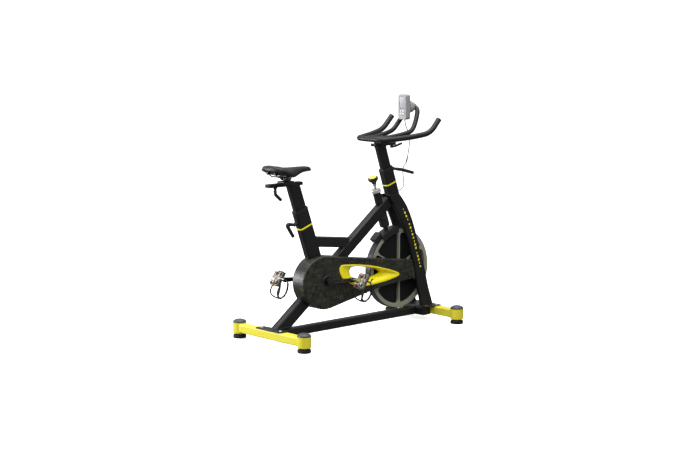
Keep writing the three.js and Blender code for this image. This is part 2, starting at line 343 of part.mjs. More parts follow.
put(wheelG, 'flywheel_pulley', turned([[8.4, 36], [SMALL_PULLEY_R, 36], [SMALL_PULLEY_R, 50], [8.4, 50], [8.4, 36]], HUB, [0, -1, 0], 18), M.steel, HUB);
put(frameG, 'flywheel_spindle', join(cyl([HUB[0], -63, HUB[2]], [HUB[0], 70, HUB[2]], 8, 16), cyl([HUB[0], -64, HUB[2]], [HUB[0], -57.3, HUB[2]], 14, 6), cyl([HUB[0], 57.3, HUB[2]], [HUB[0], 66, HUB[2]], 14, 6)), M.steel, HUB);

// ---------------------------------------------------------------- resistance: guide, rod, knob, magnets
const diagSlab = bar(along(diagAt, diagDir, -450), along(diagAt, diagDir, 400), 160, DIAG[1] + 2 * GAP, 1, 1);
const guide = cut(join(cyl(along(ROD_AT, RU, -100), along(ROD_AT, RU, 4.02), 22.5, 20), cyl(along(ROD_AT, RU, 4), along(ROD_AT, RU, 22), 27, 20)), cyl(along(ROD_AT, RU, -200), along(ROD_AT, RU, 40), 6.6, 12), diagSlab);
put(brakeG, 'resistance_guide', guide.decompose().sort((a, b) => V([b.boundingBox().max[0], 0, b.boundingBox().max[2]]).z - V([a.boundingBox().max[0], 0, a.boundingBox().max[2]]).z)[0], M.black, ROD_AT);
put(brakeG, 'brake_rod', join(cyl(along(ROD_AT, RU, -158), along(ROD_AT, RU, 78), ROD_R, 16), cyl(along(ROD_AT, RU, 44), along(ROD_AT, RU, 56), 11, 20)), M.steel, ROD_AT);
put(brakeG, 'resistance_knob', cut(turned([[0, 57], [13, 57], [16, 66], [26, 76], [30, 84], [29, 91], [24, 96], [22, 95], [0, 96]], ROD_AT, RU, 18), cyl(along(ROD_AT, RU, 50), along(ROD_AT, RU, 79), 6, 16)), M.plastic, ROD_AT);
const hAt = (s) => along(ROD_AT, RU, s);
const PIVOT = hAt(-194);
let housing = cut(cyl(hAt(-208), hAt(-100), 29, 18), cyl(hAt(-240), hAt(-60), 6.6, 16), diagSlab, bar(hAt(-260), hAt(-170), 19, 46, 1, 1));
housing = housing.decompose().sort((a, b) => a.boundingBox().min[2] - b.boundingBox().min[2])[0];
put(brakeG, 'magnet_housing', housing, M.black, ROD_AT);
// caliper that straddles the rim, with the magnet block at its rear end
const chan = (r0, r1, a0, a1, y0, y1, n = 10) => plateXZ([...arc2(HUB[0], HUB[2], r1, a0, a1, n), ...arc2(HUB[0], HUB[2], r0, a1, a0, n)], y0, y1);
const caliper = join(chan(240, 246, 93, 127, -31, 31), chan(208, 246, 93, 127, -31, -27), chan(208, 246, 93, 127, 27, 31), chan(240, 268, 124, 137, -24, 24, 5),
  bar(hAt(-238), hAt(-188), 17, 24, 4, 2));
put(brakeG, 'magnet_caliper', caliper, M.plastic, PIVOT);

// ---------------------------------------------------------------- seat
const postTop = box(-700, 0, -60, 60, SEAT_RAIL_Z[0] - GAP, 1000);
put(seatG, 'seat_post', cut(bar(along(SEAT_TOP, US, -205), along(SEAT_TOP, US, 175), SEAT_POST[0], SEAT_POST[1], 7.5, 3), postTop, bar(along(SEAT_TOP, US, -210), along(SEAT_TOP, US, 120), SEAT_POST[0] - 2 * TUBE_WALL, SEAT_POST[1] - 2 * TUBE_WALL, 5, 1)), M.black, SEAT_TOP);
put(seatG, 'seat_rail', cut(rbox(-609, -370, -21, 21, SEAT_RAIL_Z[0], SEAT_RAIL_Z[1], 6, 3), cyl([-553, 0, 840], [-553, 0, 868], 6.4, 14)), M.black, [-473, 0, 871]);
const railsPath = [[-572, 31, 934], [-556, 25, 917], [-520, 22, 913.5], [-440, 22, 913.5], [-392, 14, 930], [-372, 7, 937], [-368, 0, 938], [-372, -7, 937], [-392, -14, 930], [-440, -22, 913.5], [-520, -22, 913.5], [-556, -25, 917], [-572, -31, 934]];
const saddleRails = tube(railsPath, 3.5, 6, 28);
put(seatG, 'saddle_rails', saddleRails, M.steel, [-473, 0, 914]);
const railsGrown = tube(railsPath, 4.2, 6, 28);
const carriage = cut(join(rbox(-516, -440, -27, 27, 868, 890, 5, 2), cyl([-478, 0, 889], [-478, 0, 905], 15, 20), bar([-478, -29, 912], [-478, 29, 912], 30, 21, 7, 3)),
  box(-620, -360, -21.4, 21.4, 860, SEAT_RAIL_Z[1] + GAP), railsGrown);
put(seatG, 'seat_carriage', carriage, M.black, [-478, 0, 880]);
// saddle: [x, half width, crown z, edge z, underside z]
const saddleRows = [[-600, 30, 966, 952, 953], [-596, 58, 974, 948, 950], [-582, 78, 979, 943, 948], [-560, 88, 977, 938, 946], [-530, 89, 970, 932, 945], [-500, 80, 964, 927, 945], [-470, 62, 961, 922, 944], [-440, 45, 960.5, 920, 944], [-410, 33, 961, 924, 943], [-380, 26, 962, 930, 944], [-350, 22.5, 962, 936, 945], [-325, 20, 959, 940, 946], [-310, 15, 955, 943, 947], [-304, 8, 951, 945, 947]];
const saddle = loft(saddleRows.map(([x, w, zt, ze, zu]) => {
  const pts = [];
  for (let i = 0; i <= 8; i++) { const a = Math.PI * i / 8, c = Math.cos(a), s = Math.sin(a); pts.push([x, -w * Math.sign(c) * Math.pow(Math.abs(c), 0.62), ze + (zt - ze) * Math.pow(s, 0.62)]); }
  pts.push([x, w * 0.86, Math.min(ze + 1, zt - 1)], [x, w * 0.6, zu], [x, 0, zu], [x, -w * 0.6, zu], [x, -w * 0.86, Math.min(ze + 1, zt - 1)]);
  return pts;
}));
put(seatG, 'saddle', saddle, M.pad, [-473, 0, 945]);
// adjusting levers: a spindle in the boss and a cranked handle
const seatLever = join(cyl(along(seatLeverAt, backS, 0), along(seatLeverAt, backS, 22), 6, 14), cyl(along(seatLeverAt, backS, 9.6), along(seatLeverAt, backS, 24), 11, 16),
  tube([along(seatLeverAt, backS, 20), [-474, 0, 651], [-424, 0, 577]], 8, 6, 8, 16));
put(seatG, 'seat_post_lever', seatLever, M.plastic, seatLeverAt);
const slideLever = join(cyl([-553, 0, 845], [-553, 0, 867], 5.8, 14), cyl([-553, 0, 836], [-553, 0, SEAT_RAIL_Z[0] - 0.4], 10, 16), tube([[-553, 0, 842], [-553, 0, 822], [-510, 0, 786]], 7, 6, 8, 14));
put(seatG, 'seat_slide_lever', slideLever, M.plastic, [-553, 0, 861]);

// ---------------------------------------------------------------- handlebar
const barPost = join(cut(bar(along(HEAD_TOP, UH, -165), along(HEAD_TOP, UH, 170), BAR_POST[0], BAR_POST[1], 7.5, 3), box(0, 600, -60, 60, BAR_RAIL_Z[0] + 4, 1200), bar(along(HEAD_TOP, UH, -170), along(HEAD_TOP, UH, 110), BAR_POST[0] - 2 * TUBE_WALL, BAR_POST[1] - 2 * TUBE_WALL, 5, 1)), rbox(172, 338, -20, 20, BAR_RAIL_Z[0], BAR_RAIL_Z[1], 6, 3));
const slideLeverX = 318;
put(barG, 'bar_post', cut(barPost, cyl([slideLeverX, 0, 1020], [slideLeverX, 0, 1042], 6.4, 14)), M.black, HEAD_TOP);
const barCarriage = cut(rbox(206, 286, -27, 27, 1040, 1064, 5, 2), box(100, 400, -20.4, 20.4, 1030, BAR_RAIL_Z[1] + GAP));
put(barG, 'bar_carriage', barCarriage, M.black, [246, 0, 1057]);
const outerPath = [[508, -192, 1182], [438, -194, 1108], [322, -160, 1090], [215, -126, 1081], [158, -100, 1079], [148, -70, 1079], [148, 70, 1079], [158, 100, 1079], [215, 126, 1081], [322, 160, 1090], [438, 194, 1108], [508, 192, 1182]];
const innerPath = [[150, -42, 1080], [240, -46, 1083], [335, -64, 1096], [408, -76, 1112], [448, -66, 1165], [482, -48, 1225], [492, -24, 1243], [492, 24, 1243], [482, 48, 1225], [448, 66, 1165], [408, 76, 1112], [335, 64, 1096], [240, 46, 1083], [150, 42, 1080]];
const clampPlate = rbox(200, 292, -46, 46, 1064.3, 1086, 10, 3);
const handlebar = join(tube(outerPath, BAR_R, 8, 32, 40), tube(innerPath, HORN_R, 8, 34, 40), clampPlate);
put(barG, 'handlebar', handlebar, M.rubber, [246, 0, 1079]);
const barLever = join(cyl(barLeverAt, along(barLeverAt, headFwd, 22), 6, 14), cyl(along(barLeverAt, headFwd, 9.6), along(barLeverAt, headFwd, 26), 11, 16),
  tube([along(barLeverAt, headFwd, 20), along(along(barLeverAt, headFwd, 36), UH, 10), [404, 0, 887], [497, 0, 862]], 7.5, 6, 9, 24));
put(barG, 'bar_post_lever', barLever, M.plastic, barLeverAt);
const barSlideLever = join(cyl([slideLeverX, 0, 1022], [slideLeverX, 0, 1041], 5.8, 14), cyl([slideLeverX, 0, 1018], [slideLeverX, 0, BAR_RAIL_Z[0] - 0.4], 10, 16), tube([[slideLeverX, 0, 1025], [345, 0, 1026], [402, 0, 1040]], 6, 6, 7, 10));
put(barG, 'bar_slide_lever', barSlideLever, M.plastic, [slideLeverX, 0, 1036]);

// ---------------------------------------------------------------- console
const CON = { x0: 402, x1: 440, y: 32, z0: 1176, z1: HEIGHT };
const consoleShape = (() => { const g = new THREE.ExtrudeGeometry(rrect(2 * CON.y, CON.z1 - CON.z0, 12, 3), { depth: CON.x1 - CON.x0, bevelEnabled: false, steps: 1 });
  g.applyMatrix4(new THREE.Matrix4().makeBasis(new THREE.Vector3(0, 1, 0), new THREE.Vector3(0, 0, 1), new THREE.Vector3(1, 0, 0)).setPosition(CON.x0, 0, (CON.z0 + CON.z1) / 2)); return solid(g); })();
const keyAt = [[-10, 1226], [10, 1226], [-10, 1208], [10, 1208]];
let consoleBody = cut(consoleShape, box(CON.x0 - 1, CON.x0 + 1.5, -23, 23, 1243, 1306), ...keyAt.map(([y, z]) => box(CON.x0 - 1, CON.x0 + 3, y - 6.4, y + 6.4, z - 6.4, z + 6.4)));
put(barG, 'console', consoleBody, M.grey, [CON.x0, 0, 1248]);
keyAt.forEach(([y, z], i) => put(barG, 'console_key_' + (i + 1), box(CON.x0 - 1.6, CON.x0 + 1.4, y - 6, y + 6, z - 6, z + 6), M.key, [CON.x0, y, z]));
const hornGrown = tube(innerPath, HORN_R + 0.5, 8, 34, 40);
const mount = cut(turned([[0, 0], [31, 0], [31, 8], [27, 30], [20, 50], [18, 64], [0, 68]], [CON.x1 + GAP, 0, 1247], [1, 0, 0], 16), hornGrown);
put(barG, 'console_mount', mount.decompose().sort((a, b) => b.volume() - a.volume())[0], M.grey, [CON.x1, 0, 1247]);
// speed lead: from the console down to a plug, and on into the frame
const leadUp = [[433, 8, 1175.4], [436, 9, 1160], [448, 12, 1132], [466, 14, 1100], [478, 15, 1055], [476, 15, 1015], [468, 15, 975], [460, 15, 945]];
const leadDown = [[459.8, 15, 944.2], [450, 15, 922], [434, 15, 903], [427, 15, 884], [428, 15, 850], [431, 13, 815], [424, 8, 790], [404, 3, 776], [382, 0, 770], [366, 0, 768]];
put(barG, 'console_lead', tube(leadUp, CABLE_R, 8, 18), M.cable, leadUp[0]);
// the lower lead carries the moulded in-line socket that the upper lead meets
const plugDir = [-0.33, 0, -0.944];
put(frameG, 'frame_lead', join(tube(leadDown, CABLE_R, 8, 18), cyl(along(leadDown[0], plugDir, -0.2), along(leadDown[0], plugDir, 21), 4.5, 12)), M.cable, leadDown[0]);

export default bike;
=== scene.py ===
# Indoor cycling bike: the looks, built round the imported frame. Lengths below are millimetres until a mesh is made.
import math

import bmesh
import bpy
from mathutils import Matrix, Vector
from mathutils.bvhtree import BVHTree
from mathutils.geometry import delaunay_2d_cdt


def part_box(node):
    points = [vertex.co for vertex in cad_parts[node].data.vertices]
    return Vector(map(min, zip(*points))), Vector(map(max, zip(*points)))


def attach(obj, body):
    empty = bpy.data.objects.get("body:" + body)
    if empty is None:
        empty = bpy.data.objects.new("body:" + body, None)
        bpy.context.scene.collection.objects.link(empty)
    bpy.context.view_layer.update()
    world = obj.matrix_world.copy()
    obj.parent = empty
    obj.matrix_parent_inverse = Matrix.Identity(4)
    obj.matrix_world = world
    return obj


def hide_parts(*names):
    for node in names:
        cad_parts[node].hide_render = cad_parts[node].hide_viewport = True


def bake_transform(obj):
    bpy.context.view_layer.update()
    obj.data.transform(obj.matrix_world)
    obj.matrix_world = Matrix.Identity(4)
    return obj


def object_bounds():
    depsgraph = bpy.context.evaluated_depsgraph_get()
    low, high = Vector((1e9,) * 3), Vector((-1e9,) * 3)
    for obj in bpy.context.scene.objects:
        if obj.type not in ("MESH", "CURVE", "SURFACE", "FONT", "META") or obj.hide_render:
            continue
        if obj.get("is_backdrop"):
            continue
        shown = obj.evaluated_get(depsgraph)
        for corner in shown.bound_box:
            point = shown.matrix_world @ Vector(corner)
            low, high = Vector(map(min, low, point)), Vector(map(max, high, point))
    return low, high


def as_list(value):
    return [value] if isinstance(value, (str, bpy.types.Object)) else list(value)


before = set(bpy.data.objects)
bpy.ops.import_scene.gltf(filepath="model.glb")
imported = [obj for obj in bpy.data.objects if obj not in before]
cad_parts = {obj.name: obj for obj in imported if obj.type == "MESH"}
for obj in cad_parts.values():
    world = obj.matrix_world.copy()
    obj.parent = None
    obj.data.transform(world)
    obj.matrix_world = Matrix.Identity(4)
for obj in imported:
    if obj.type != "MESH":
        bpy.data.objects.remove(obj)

cad_lo, cad_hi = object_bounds()
scene = bpy.context.scene
collection = scene.collection

# ------------------------------------------------------------------ the camera
CAM_AT, CAM_LOC = Vector((-0.0036, 0.0, 0.6037)), Vector((-6.479, -7.005, 1.951))
camera_data = bpy.data.cameras.new("camera")
camera_data.sensor_width, camera_data.sensor_fit, camera_data.lens = 36.0, "HORIZONTAL", 88.07
camera_data.clip_start, camera_data.clip_end = 0.1, 2000
camera = bpy.data.objects.new("camera", camera_data)
collection.objects.link(camera)
camera.location = CAM_LOC
camera.rotation_mode = "QUATERNION"
camera.rotation_quaternion = (CAM_AT - CAM_LOC).to_track_quat("-Z", "Y")
scene.camera = camera
scene.view_settings.view_transform = "Standard"

# ------------------------------------------------------------------ dimensions, as the frame has them
FOOT_X, FOOT_Y, FOOT_R = 587, 272, 38
BAR_Z0, BAR_Z1, BAR_W = 34, 82, 56
END_Z0, END_Z1 = 27, 87
BB, HUB = Vector((-236, 0, 318)), Vector((365, 0, 320))
CRANK_LEN, CRANK_DEG, PEDAL_Y, PEDAL_TILT = 180, -3.5, 150, -55
FLY_R = 232
SEAT_TOP, SEAT_LEAN, SEAT_TUBE, SEAT_POST = Vector((-378.5, 0, 725.5)), 19.6, (48, 92), (36, 76)
HEAD_TOP, HEAD_LEAN, HEAD_TUBE, BAR_POST = Vector((273, 0, 906)), 18.6, (52, 78), (34, 64)
COVER_Y0, COVER_SPLIT, COVER_BACK, COVER_FAR = -68, -31.2, -28, 28
ROD_AT = Vector((202, 0, 770))
X, Y, Z = Vector((1, 0, 0)), Vector((0, 1, 0)), Vector((0, 0, 1))


def lean(d):
    return Vector((-math.sin(math.radians(d)), 0, math.cos(math.radians(d))))


US, UH = lean(SEAT_LEAN), lean(HEAD_LEAN)
SEAT_BACK = Vector((-US.z, 0, US.x))
HEAD_FWD = Vector((UH.z, 0, -UH.x))
DIAG_DIR, DIAG_AT, DIAG = Vector((0.7966, 0, 0.6045)).normalized(), Vector((100, 0, 572.6)), (48, 64)
LEG_DIR, LEG_AT = Vector((0.8, 0, 0.6)), Vector((-518.5, 0, 85))


def along(p, u, s):
    return Vector(p) + Vector(u) * s


# ------------------------------------------------------------------ curves
def catmull(points, per=12):
    """Centripetal Catmull-Rom through the points."""
    p = [Vector(q) for q in points]
    p = [p[0] * 2 - p[1]] + p + [p[-1] * 2 - p[-2]]
    out = []
    for i in range(1, len(p) - 2):
        p0, p1, p2, p3 = p[i - 1 : i + 3]
        t0 = 0.0
        t1 = t0 + max((p1 - p0).length, 1e-6) ** 0.5
        t2 = t1 + max((p2 - p1).length, 1e-6) ** 0.5
        t3 = t2 + max((p3 - p2).length, 1e-6) ** 0.5
        for k in range(per):
            t = t1 + (t2 - t1) * k / per
            a1 = p0 * ((t1 - t) / (t1 - t0)) + p1 * ((t - t0) / (t1 - t0))
            a2 = p1 * ((t2 - t) / (t2 - t1)) + p2 * ((t - t1) / (t2 - t1))
            a3 = p2 * ((t3 - t) / (t3 - t2)) + p3 * ((t - t2) / (t3 - t2))
            b1 = a1 * ((t2 - t) / (t2 - t0)) + a2 * ((t - t0) / (t2 - t0))
            b2 = a2 * ((t3 - t) / (t3 - t1)) + a3 * ((t - t1) / (t3 - t1))
            out.append(b1 * ((t2 - t) / (t2 - t1)) + b2 * ((t - t1) / (t2 - t1)))
    out.append(p[-2].copy())
    return out


def rounded(points, r, n=8):
    """A polyline with its corners rounded off."""
    p = [Vector(q) for q in points]
    out = [p[0]]
    for i in range(1, len(p) - 1):
        a, b = p[i - 1] - p[i], p[i + 1] - p[i]
        t = min(r, a.length * 0.45, b.length * 0.45)
        q0, q1 = p[i] + a.normalized() * t, p[i] + b.normalized() * t
        for k in range(n + 1):
            s = k / n
            out.append(q0 * (1 - s) ** 2 + p[i] * 2 * s * (1 - s) + q1 * s * s)
    out.append(p[-1])
    return out


class Path:
    """A polyline measured along its length."""

    def __init__(self, points):
        self.p = [Vector(points[0])]
        for q in points[1:]:
            if (Vector(q) - self.p[-1]).length > 1e-6:
                self.p.append(Vector(q))
        self.s = [0.0]
        for a, b in zip(self.p, self.p[1:]):
            self.s.append(self.s[-1] + (b - a).length)
        self.length = self.s[-1]

    def at(self, s):
        s = min(max(s, 0.0), self.length)
        lo, hi = 0, len(self.s) - 1
        while hi - lo > 1:
            m = (lo + hi) // 2
            if self.s[m] <= s:
                lo = m
            else:
                hi = m
        w = (s - self.s[lo]) / max(self.s[hi] - self.s[lo], 1e-9)
        return self.p[lo].lerp(self.p[hi], w)

    def tangent(self, s, d=0.6):
        return (self.at(s + d) - self.at(s - d)).normalized()


def even(points, step):
    p = Path(points)
    n = max(2, int(round(p.length / step)))
    return [p.at(p.length * i / n) for i in range(n + 1)]


def smooth_line(points, times=3):
    p = [Vector(q) for q in points]
    for _ in range(times):
        p = [p[0]] + [(a + b * 2 + c) / 4 for a, b, c in zip(p, p[1:], p[2:])] + [p[-1]]
    return p


def spline2(points, n):
    """The frame's own uniform spline through 2-D points, n steps."""
    out, m = [], len(points) - 1
    for k in range(n + 1):
        f = m * k / n
        i = min(int(f), m)
        t = f - i
        q = [points[max(i - 1, 0)], points[i], points[min(i + 1, m)], points[min(i + 2, m)]]
        row = []
        for c in (0, 1):
            v0, v1 = (q[2][c] - q[0][c]) * 0.5, (q[3][c] - q[1][c]) * 0.5
            row.append((2 * q[1][c] - 2 * q[2][c] + v0 + v1) * t**3 + (-3 * q[1][c] + 3 * q[2][c] - 2 * v0 - v1) * t * t + v0 * t + q[1][c])
        out.append(tuple(row))
    return out


def arc2(cx, cz, r, a0, a1, n):
    return [(cx + r * math.cos(math.radians(a0 + (a1 - a0) * i / n)), cz + r * math.sin(math.radians(a0 + (a1 - a0) * i / n))) for i in range(n + 1)]


def area2(p):
    return sum(a[0] * b[1] - b[0] * a[1] for a, b in zip(p, p[1:] + p[:1])) / 2


def inset(p, d):
    """An outline moved inwards by d (outwards if negative)."""
    sg, n, out = (1 if area2(p) > 0 else -1), len(p), []
    for i in range(n):
        a, q, b = p[i - 1], p[i], p[(i + 1) % n]
        e0, e1 = (q[0] - a[0], q[1] - a[1]), (b[0] - q[0], b[1] - q[1])
        l0, l1 = math.hypot(*e0) or 1e-9, math.hypot(*e1) or 1e-9
        n0, n1 = (-e0[1] / l0 * sg, e0[0] / l0 * sg), (-e1[1] / l1 * sg, e1[0] / l1 * sg)
        k = max(0.35, 1 + n0[0] * n1[0] + n0[1] * n1[1])
        out.append((q[0] + d * (n0[0] + n1[0]) / k, q[1] + d * (n0[1] + n1[1]) / k))
    return out


def even2(p, step, closed=True):
    """Points evenly spaced round an outline."""
    q = [Vector((a[0], a[1], 0)) for a in p]
    if closed:
        q.append(q[0])
    path = Path(q)
    n = max(8, int(round(path.length / step)))
    out = [path.at(path.length * i / n) for i in range(n)]
    return [(v.x, v.y) for v in out]


def round_corners2(p, r, n=6):
    """A closed outline with every corner rounded by r."""
    out, m = [], len(p)
    for i in range(m):
        q, a, b = Vector((*p[i], 0)), Vector((*p[i - 1], 0)), Vector((*p[(i + 1) % m], 0))
        da, db = a - q, b - q
        t = min(r, da.length * 0.48, db.length * 0.48)
        q0, q1 = q + da.normalized() * t, q + db.normalized() * t
        for k in range(n + 1):
            s = k / n
            v = q0 * (1 - s) ** 2 + q * 2 * s * (1 - s) + q1 * s * s
            out.append((v.x, v.y))
    return out


def inside2(pt, poly):
    x, y, c = pt[0], pt[1], False
    for (x0, y0), (x1, y1) in zip(poly, poly[1:] + poly[:1]):
        if (y0 > y) != (y1 > y) and x < (x1 - x0) * (y - y0) / (y1 - y0) + x0:
            c = not c
    return c


def rrect(w, h, r, n=6):
    r = min(r, w / 2 - 0.01, h / 2 - 0.01)
    out, cx, cy = [], w / 2 - r, h / 2 - r
    for sx, sy, a0 in ((1, 1, 0), (-1, 1, 90), (-1, -1, 180), (1, -1, 270)):
        for i in range(n + 1):
            a = math.radians(a0 + 90 * i / n)
            out.append((sx * cx + r * math.cos(a), sy * cy + r * math.sin(a)))
    return out


def perp(u):
    side = X if abs(u.y) > 0.9 else Y
    return (side - u * side.dot(u)).normalized()


# ------------------------------------------------------------------ mesh building
class Geo:
    def __init__(self):
        self.v, self.f, self.m = [], [], []

    def add(self, verts, faces, mat=0):
        o = len(self.v)
        self.v += [Vector(p) for p in verts]
        self.f += [[o + i for i in f] for f in faces]
        self.m += [mat] * len(faces)
        return self

    def rings(self, rings, cap0=True, cap1=True, mat=0, loop=False):
        n, m, faces = len(rings[0]), len(rings), []
        for i in range(m if loop else m - 1):
            for j in range(n):
                faces.append((i * n + j, i * n + (j + 1) % n, ((i + 1) % m) * n + (j + 1) % n, ((i + 1) % m) * n + j))
        if cap0 and not loop:
            faces.append(tuple(range(n - 1, -1, -1)))
        if cap1 and not loop:
            faces.append(tuple((m - 1) * n + j for j in range(n)))
        return self.add([p for r in rings for p in r], faces, mat)

    def lathe(self, profile, origin, axis, n=64, mat=0, loop=False, shape=None):
        u = Vector(axis).normalized()
        e1 = perp(u)
        e2 = u.cross(e1)
        rings = []
        for r, h in profile:
            ring = []
            for k in range(n):
                a = 2 * math.pi * k / n
                rr, hh = (r, h) if shape is None else shape(a, r, h)
                ring.append(Vector(origin) + u * hh + (e1 * math.cos(a) + e2 * math.sin(a)) * rr)
            rings.append(ring)
        return self.rings(rings, profile[0][0] > 0, profile[-1][0] > 0, mat, loop)

    def tube(self, points, r, n=20, mat=0, step=None, end=0.35, ref=None):
        """A round tube along a polyline. r is a number or a function of distance and length. Its ends are rounded off by end times r."""
        path = Path(points)
        rad = r if callable(r) else (lambda s, length: r)
        L = path.length
        e = max(0.05, end * rad(0, L))
        stations = [(e * (1 - math.cos(a)), math.sin(a)) for a in [math.radians(12 + 78 * k / 4) for k in range(4)]]
        first, last = [(s, k) for s, k in stations], [(L - s, k) for s, k in reversed(stations)]
        step = step or max(1.5, rad(0, L) * 0.8)
        m = max(1, int((L - 2 * e) / step))
        stations = first + [(e + (L - 2 * e) * i / m, 1.0) for i in range(m + 1)] + last
        side, prev, rings = None, None, []
        for s, k in stations:
            t = path.tangent(s)
            if side is None:
                side = ref.copy() if ref is not None else perp(t)
            side = (side - t * side.dot(t)).normalized()
            up = t.cross(side)
            q, rr = path.at(s), rad(s, L)
            base = rr - e + e * k if e < rr else rr * k
            rings.append([q + (side * math.cos(2 * math.pi * j / n) + up * math.sin(2 * math.pi * j / n)) * base for j in range(n)])
        return self.rings(rings, mat=mat)

    def sweep(self, points, section, side=Y, mat=0, step=4.0, end=2.0):
        """A closed section swept along a polyline that lies in the plane square to side. section(s, L) gives (across, up) pairs."""
        path = Path(points)
        L = path.length
        stations = [(end * (1 - math.cos(a)), math.sin(a)) for a in [math.radians(10 + 80 * k / 4) for k in range(4)]] if end > 0 else [(0, 1)]
        tail = [(L - s, k) for s, k in reversed(stations)]
        m = max(1, int((L - 2 * end) / step))
        stations = stations + [(end + (L - 2 * end) * i / m, 1.0) for i in range(m + 1)] + tail
        rings = []
        for s, k in stations:
            t, q = path.tangent(s), path.at(s)
            sd = (side - t * side.dot(t)).normalized()
            up = t.cross(sd)
            sec = section(s, L)
            if k < 1:
                w = max(abs(a) for a, _ in sec)
                h = max(abs(b) for _, b in sec)
                sec = [(a * (w - end + end * k) / w, b * (h - end + end * k) / h) for a, b in sec]
            rings.append([q + sd * a + up * b for a, b in sec])
        return self.rings(rings, mat=mat)

    def bar(self, p0, p1, w, h, r=6, n=6, mat=0, side=Y, end=1.0):
        sec = rrect(w, h, r, n)
        return self.sweep([p0, p1], lambda s, L: sec, side=side, mat=mat, step=1e9, end=end)

    def box(self, lo, hi, r=2.0, axis="z", edge=1.0, n=5, mat=0):
        """A block whose outline across one axis has corners of radius r, and whose two ends are eased by edge."""
        c = [(a + b) / 2 for a, b in zip(lo, hi)]
        d = [b - a for a, b in zip(lo, hi)]
        if axis == "z":
            p0, p1, side, w, h = Vector((c[0], c[1], lo[2])), Vector((c[0], c[1], hi[2])), Y, d[1], d[0]
        elif axis == "y":
            p0, p1, side, w, h = Vector((c[0], lo[1], c[2])), Vector((c[0], hi[1], c[2])), X, d[0], d[2]
        else:
            p0, p1, side, w, h = Vector((lo[0], c[1], c[2])), Vector((hi[0], c[1], c[2])), Y, d[1], d[2]
        return self.bar(p0, p1, w, h, r, n, mat, side, edge)

    def plate(self, outline, holes, face, back, r=1.5, place=None, mat=0, n=4, back_r=0.0, open_back=False, rim_mat=None):
        """A flat plate with holes: its edge on the face side is rounded by r. place(a, b, depth) gives the point in space."""
        place = place or (lambda a, b, d: Vector((a, d, b)))
        sign = 1 if back > face else -1
        loops = [list(outline)] + [list(h) for h in holes]
        faces_face, faces_back = [], []
        for i, lp in enumerate(loops):
            dirn = 1 if i == 0 else -1
            rows = []
            for k in range(n + 1):
                a = math.radians(90 * k / n)
                rows.append((dirn * r * (1 - math.sin(a)), face + sign * r * (1 - math.cos(a))))
            if back_r > 0:
                for k in range(n + 1):
                    a = math.radians(90 * k / n)
                    rows.append((dirn * back_r * (1 - math.cos(a)), back - sign * back_r * (1 - math.sin(a))))
            else:
                rows.append((0, back))
            rings = [[place(x, z, d) for x, z in inset(lp, ins)] for ins, d in rows]
            self.rings(rings, False, False, mat if rim_mat is None else rim_mat)
            faces_face.append(inset(lp, rows[0][0]))
            faces_back.append(inset(lp, rows[-1][0]))
        for lps, d in ((faces_face, face), (faces_back, back)):
            if d == back and open_back:
                continue
            flat, edges = [], []
            for lp in lps:
                o = len(flat)
                flat += [Vector((x, z)) for x, z in lp]
                edges += [(o + j, o + (j + 1) % len(lp)) for j in range(len(lp))]
            vs, _, fs, _, _, _ = delaunay_2d_cdt(flat, edges, [], 0, 1e-5)
            keep = []
            for f in fs:
                cx, cz = sum(vs[j].x for j in f) / len(f), sum(vs[j].y for j in f) / len(f)
                if inside2((cx, cz), lps[0]) and not any(inside2((cx, cz), h) for h in lps[1:]):
                    keep.append(tuple(f))
            self.add([place(v.x, v.y, d) for v in vs], keep, mat)
        return self

    def hexbolt(self, p, axis, across=13, height=8, washer=9.5, mat=0):
        u = Vector(axis).normalized()
        e1 = perp(u)
        e2 = u.cross(e1)
        if washer:
            self.lathe([(0, 0), (washer - 0.4, 0), (washer, 0.4), (washer, 1.4), (washer - 0.4, 1.8), (0, 1.8)], p, u, 32, mat)
        ring = lambda k, h: [Vector(p) + u * h + (e1 * math.cos(math.pi * j / 3) + e2 * math.sin(math.pi * j / 3)) * across / math.sqrt(3) * k for j in range(6)]
        self.rings([ring(1, 1.7), ring(1, height - 1.2), ring(0.86, height)], mat=mat)
        return self

    def dome_bolt(self, p, axis, r=8, h=4.5, socket=3.0, mat=0):
        """A button-head bolt with a hexagon socket."""
        u = Vector(axis).normalized()
        prof = [(0, -0.5), (r, -0.5), (r, 0.6)] + [(r * math.cos(math.radians(a)), 0.6 + (h - 0.6) * math.sin(math.radians(a))) for a in (15, 30, 45, 58)]
        prof += [(socket * 1.08, h * 0.93), (socket, h * 0.5), (0, h * 0.45)]
        return self.lathe(prof, p, u, 28, mat)


PIECES = []


def make(name, geo, mats, body, replaces=(), sharp=38, weighted=True, doubles=0.004, finish=True):
    mesh = bpy.data.meshes.new(name)
    mesh.from_pydata([v * 0.001 for v in geo.v], [], geo.f)
    bm = bmesh.new()
    bm.from_mesh(mesh)
    bm.faces.ensure_lookup_table()
    for f, m in zip(bm.faces, geo.m):
        f.material_index = m
    bmesh.ops.remove_doubles(bm, verts=bm.verts, dist=doubles * 0.001)
    bmesh.ops.dissolve_degenerate(bm, edges=bm.edges, dist=1e-7)
    bmesh.ops.recalc_face_normals(bm, faces=bm.faces)
    bm.to_mesh(mesh)
    bm.free()
    obj = bpy.data.objects.new(name, mesh)
    collection.objects.link(obj)
    for m in mats if isinstance(mats, (list, tuple)) else [mats]:
        mesh.materials.append(m)
    if finish:
        shade(obj, sharp, weighted)
    if body:
        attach(obj, body)
    if replaces:
        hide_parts(*replaces)
    PIECES.append(obj)
    return obj


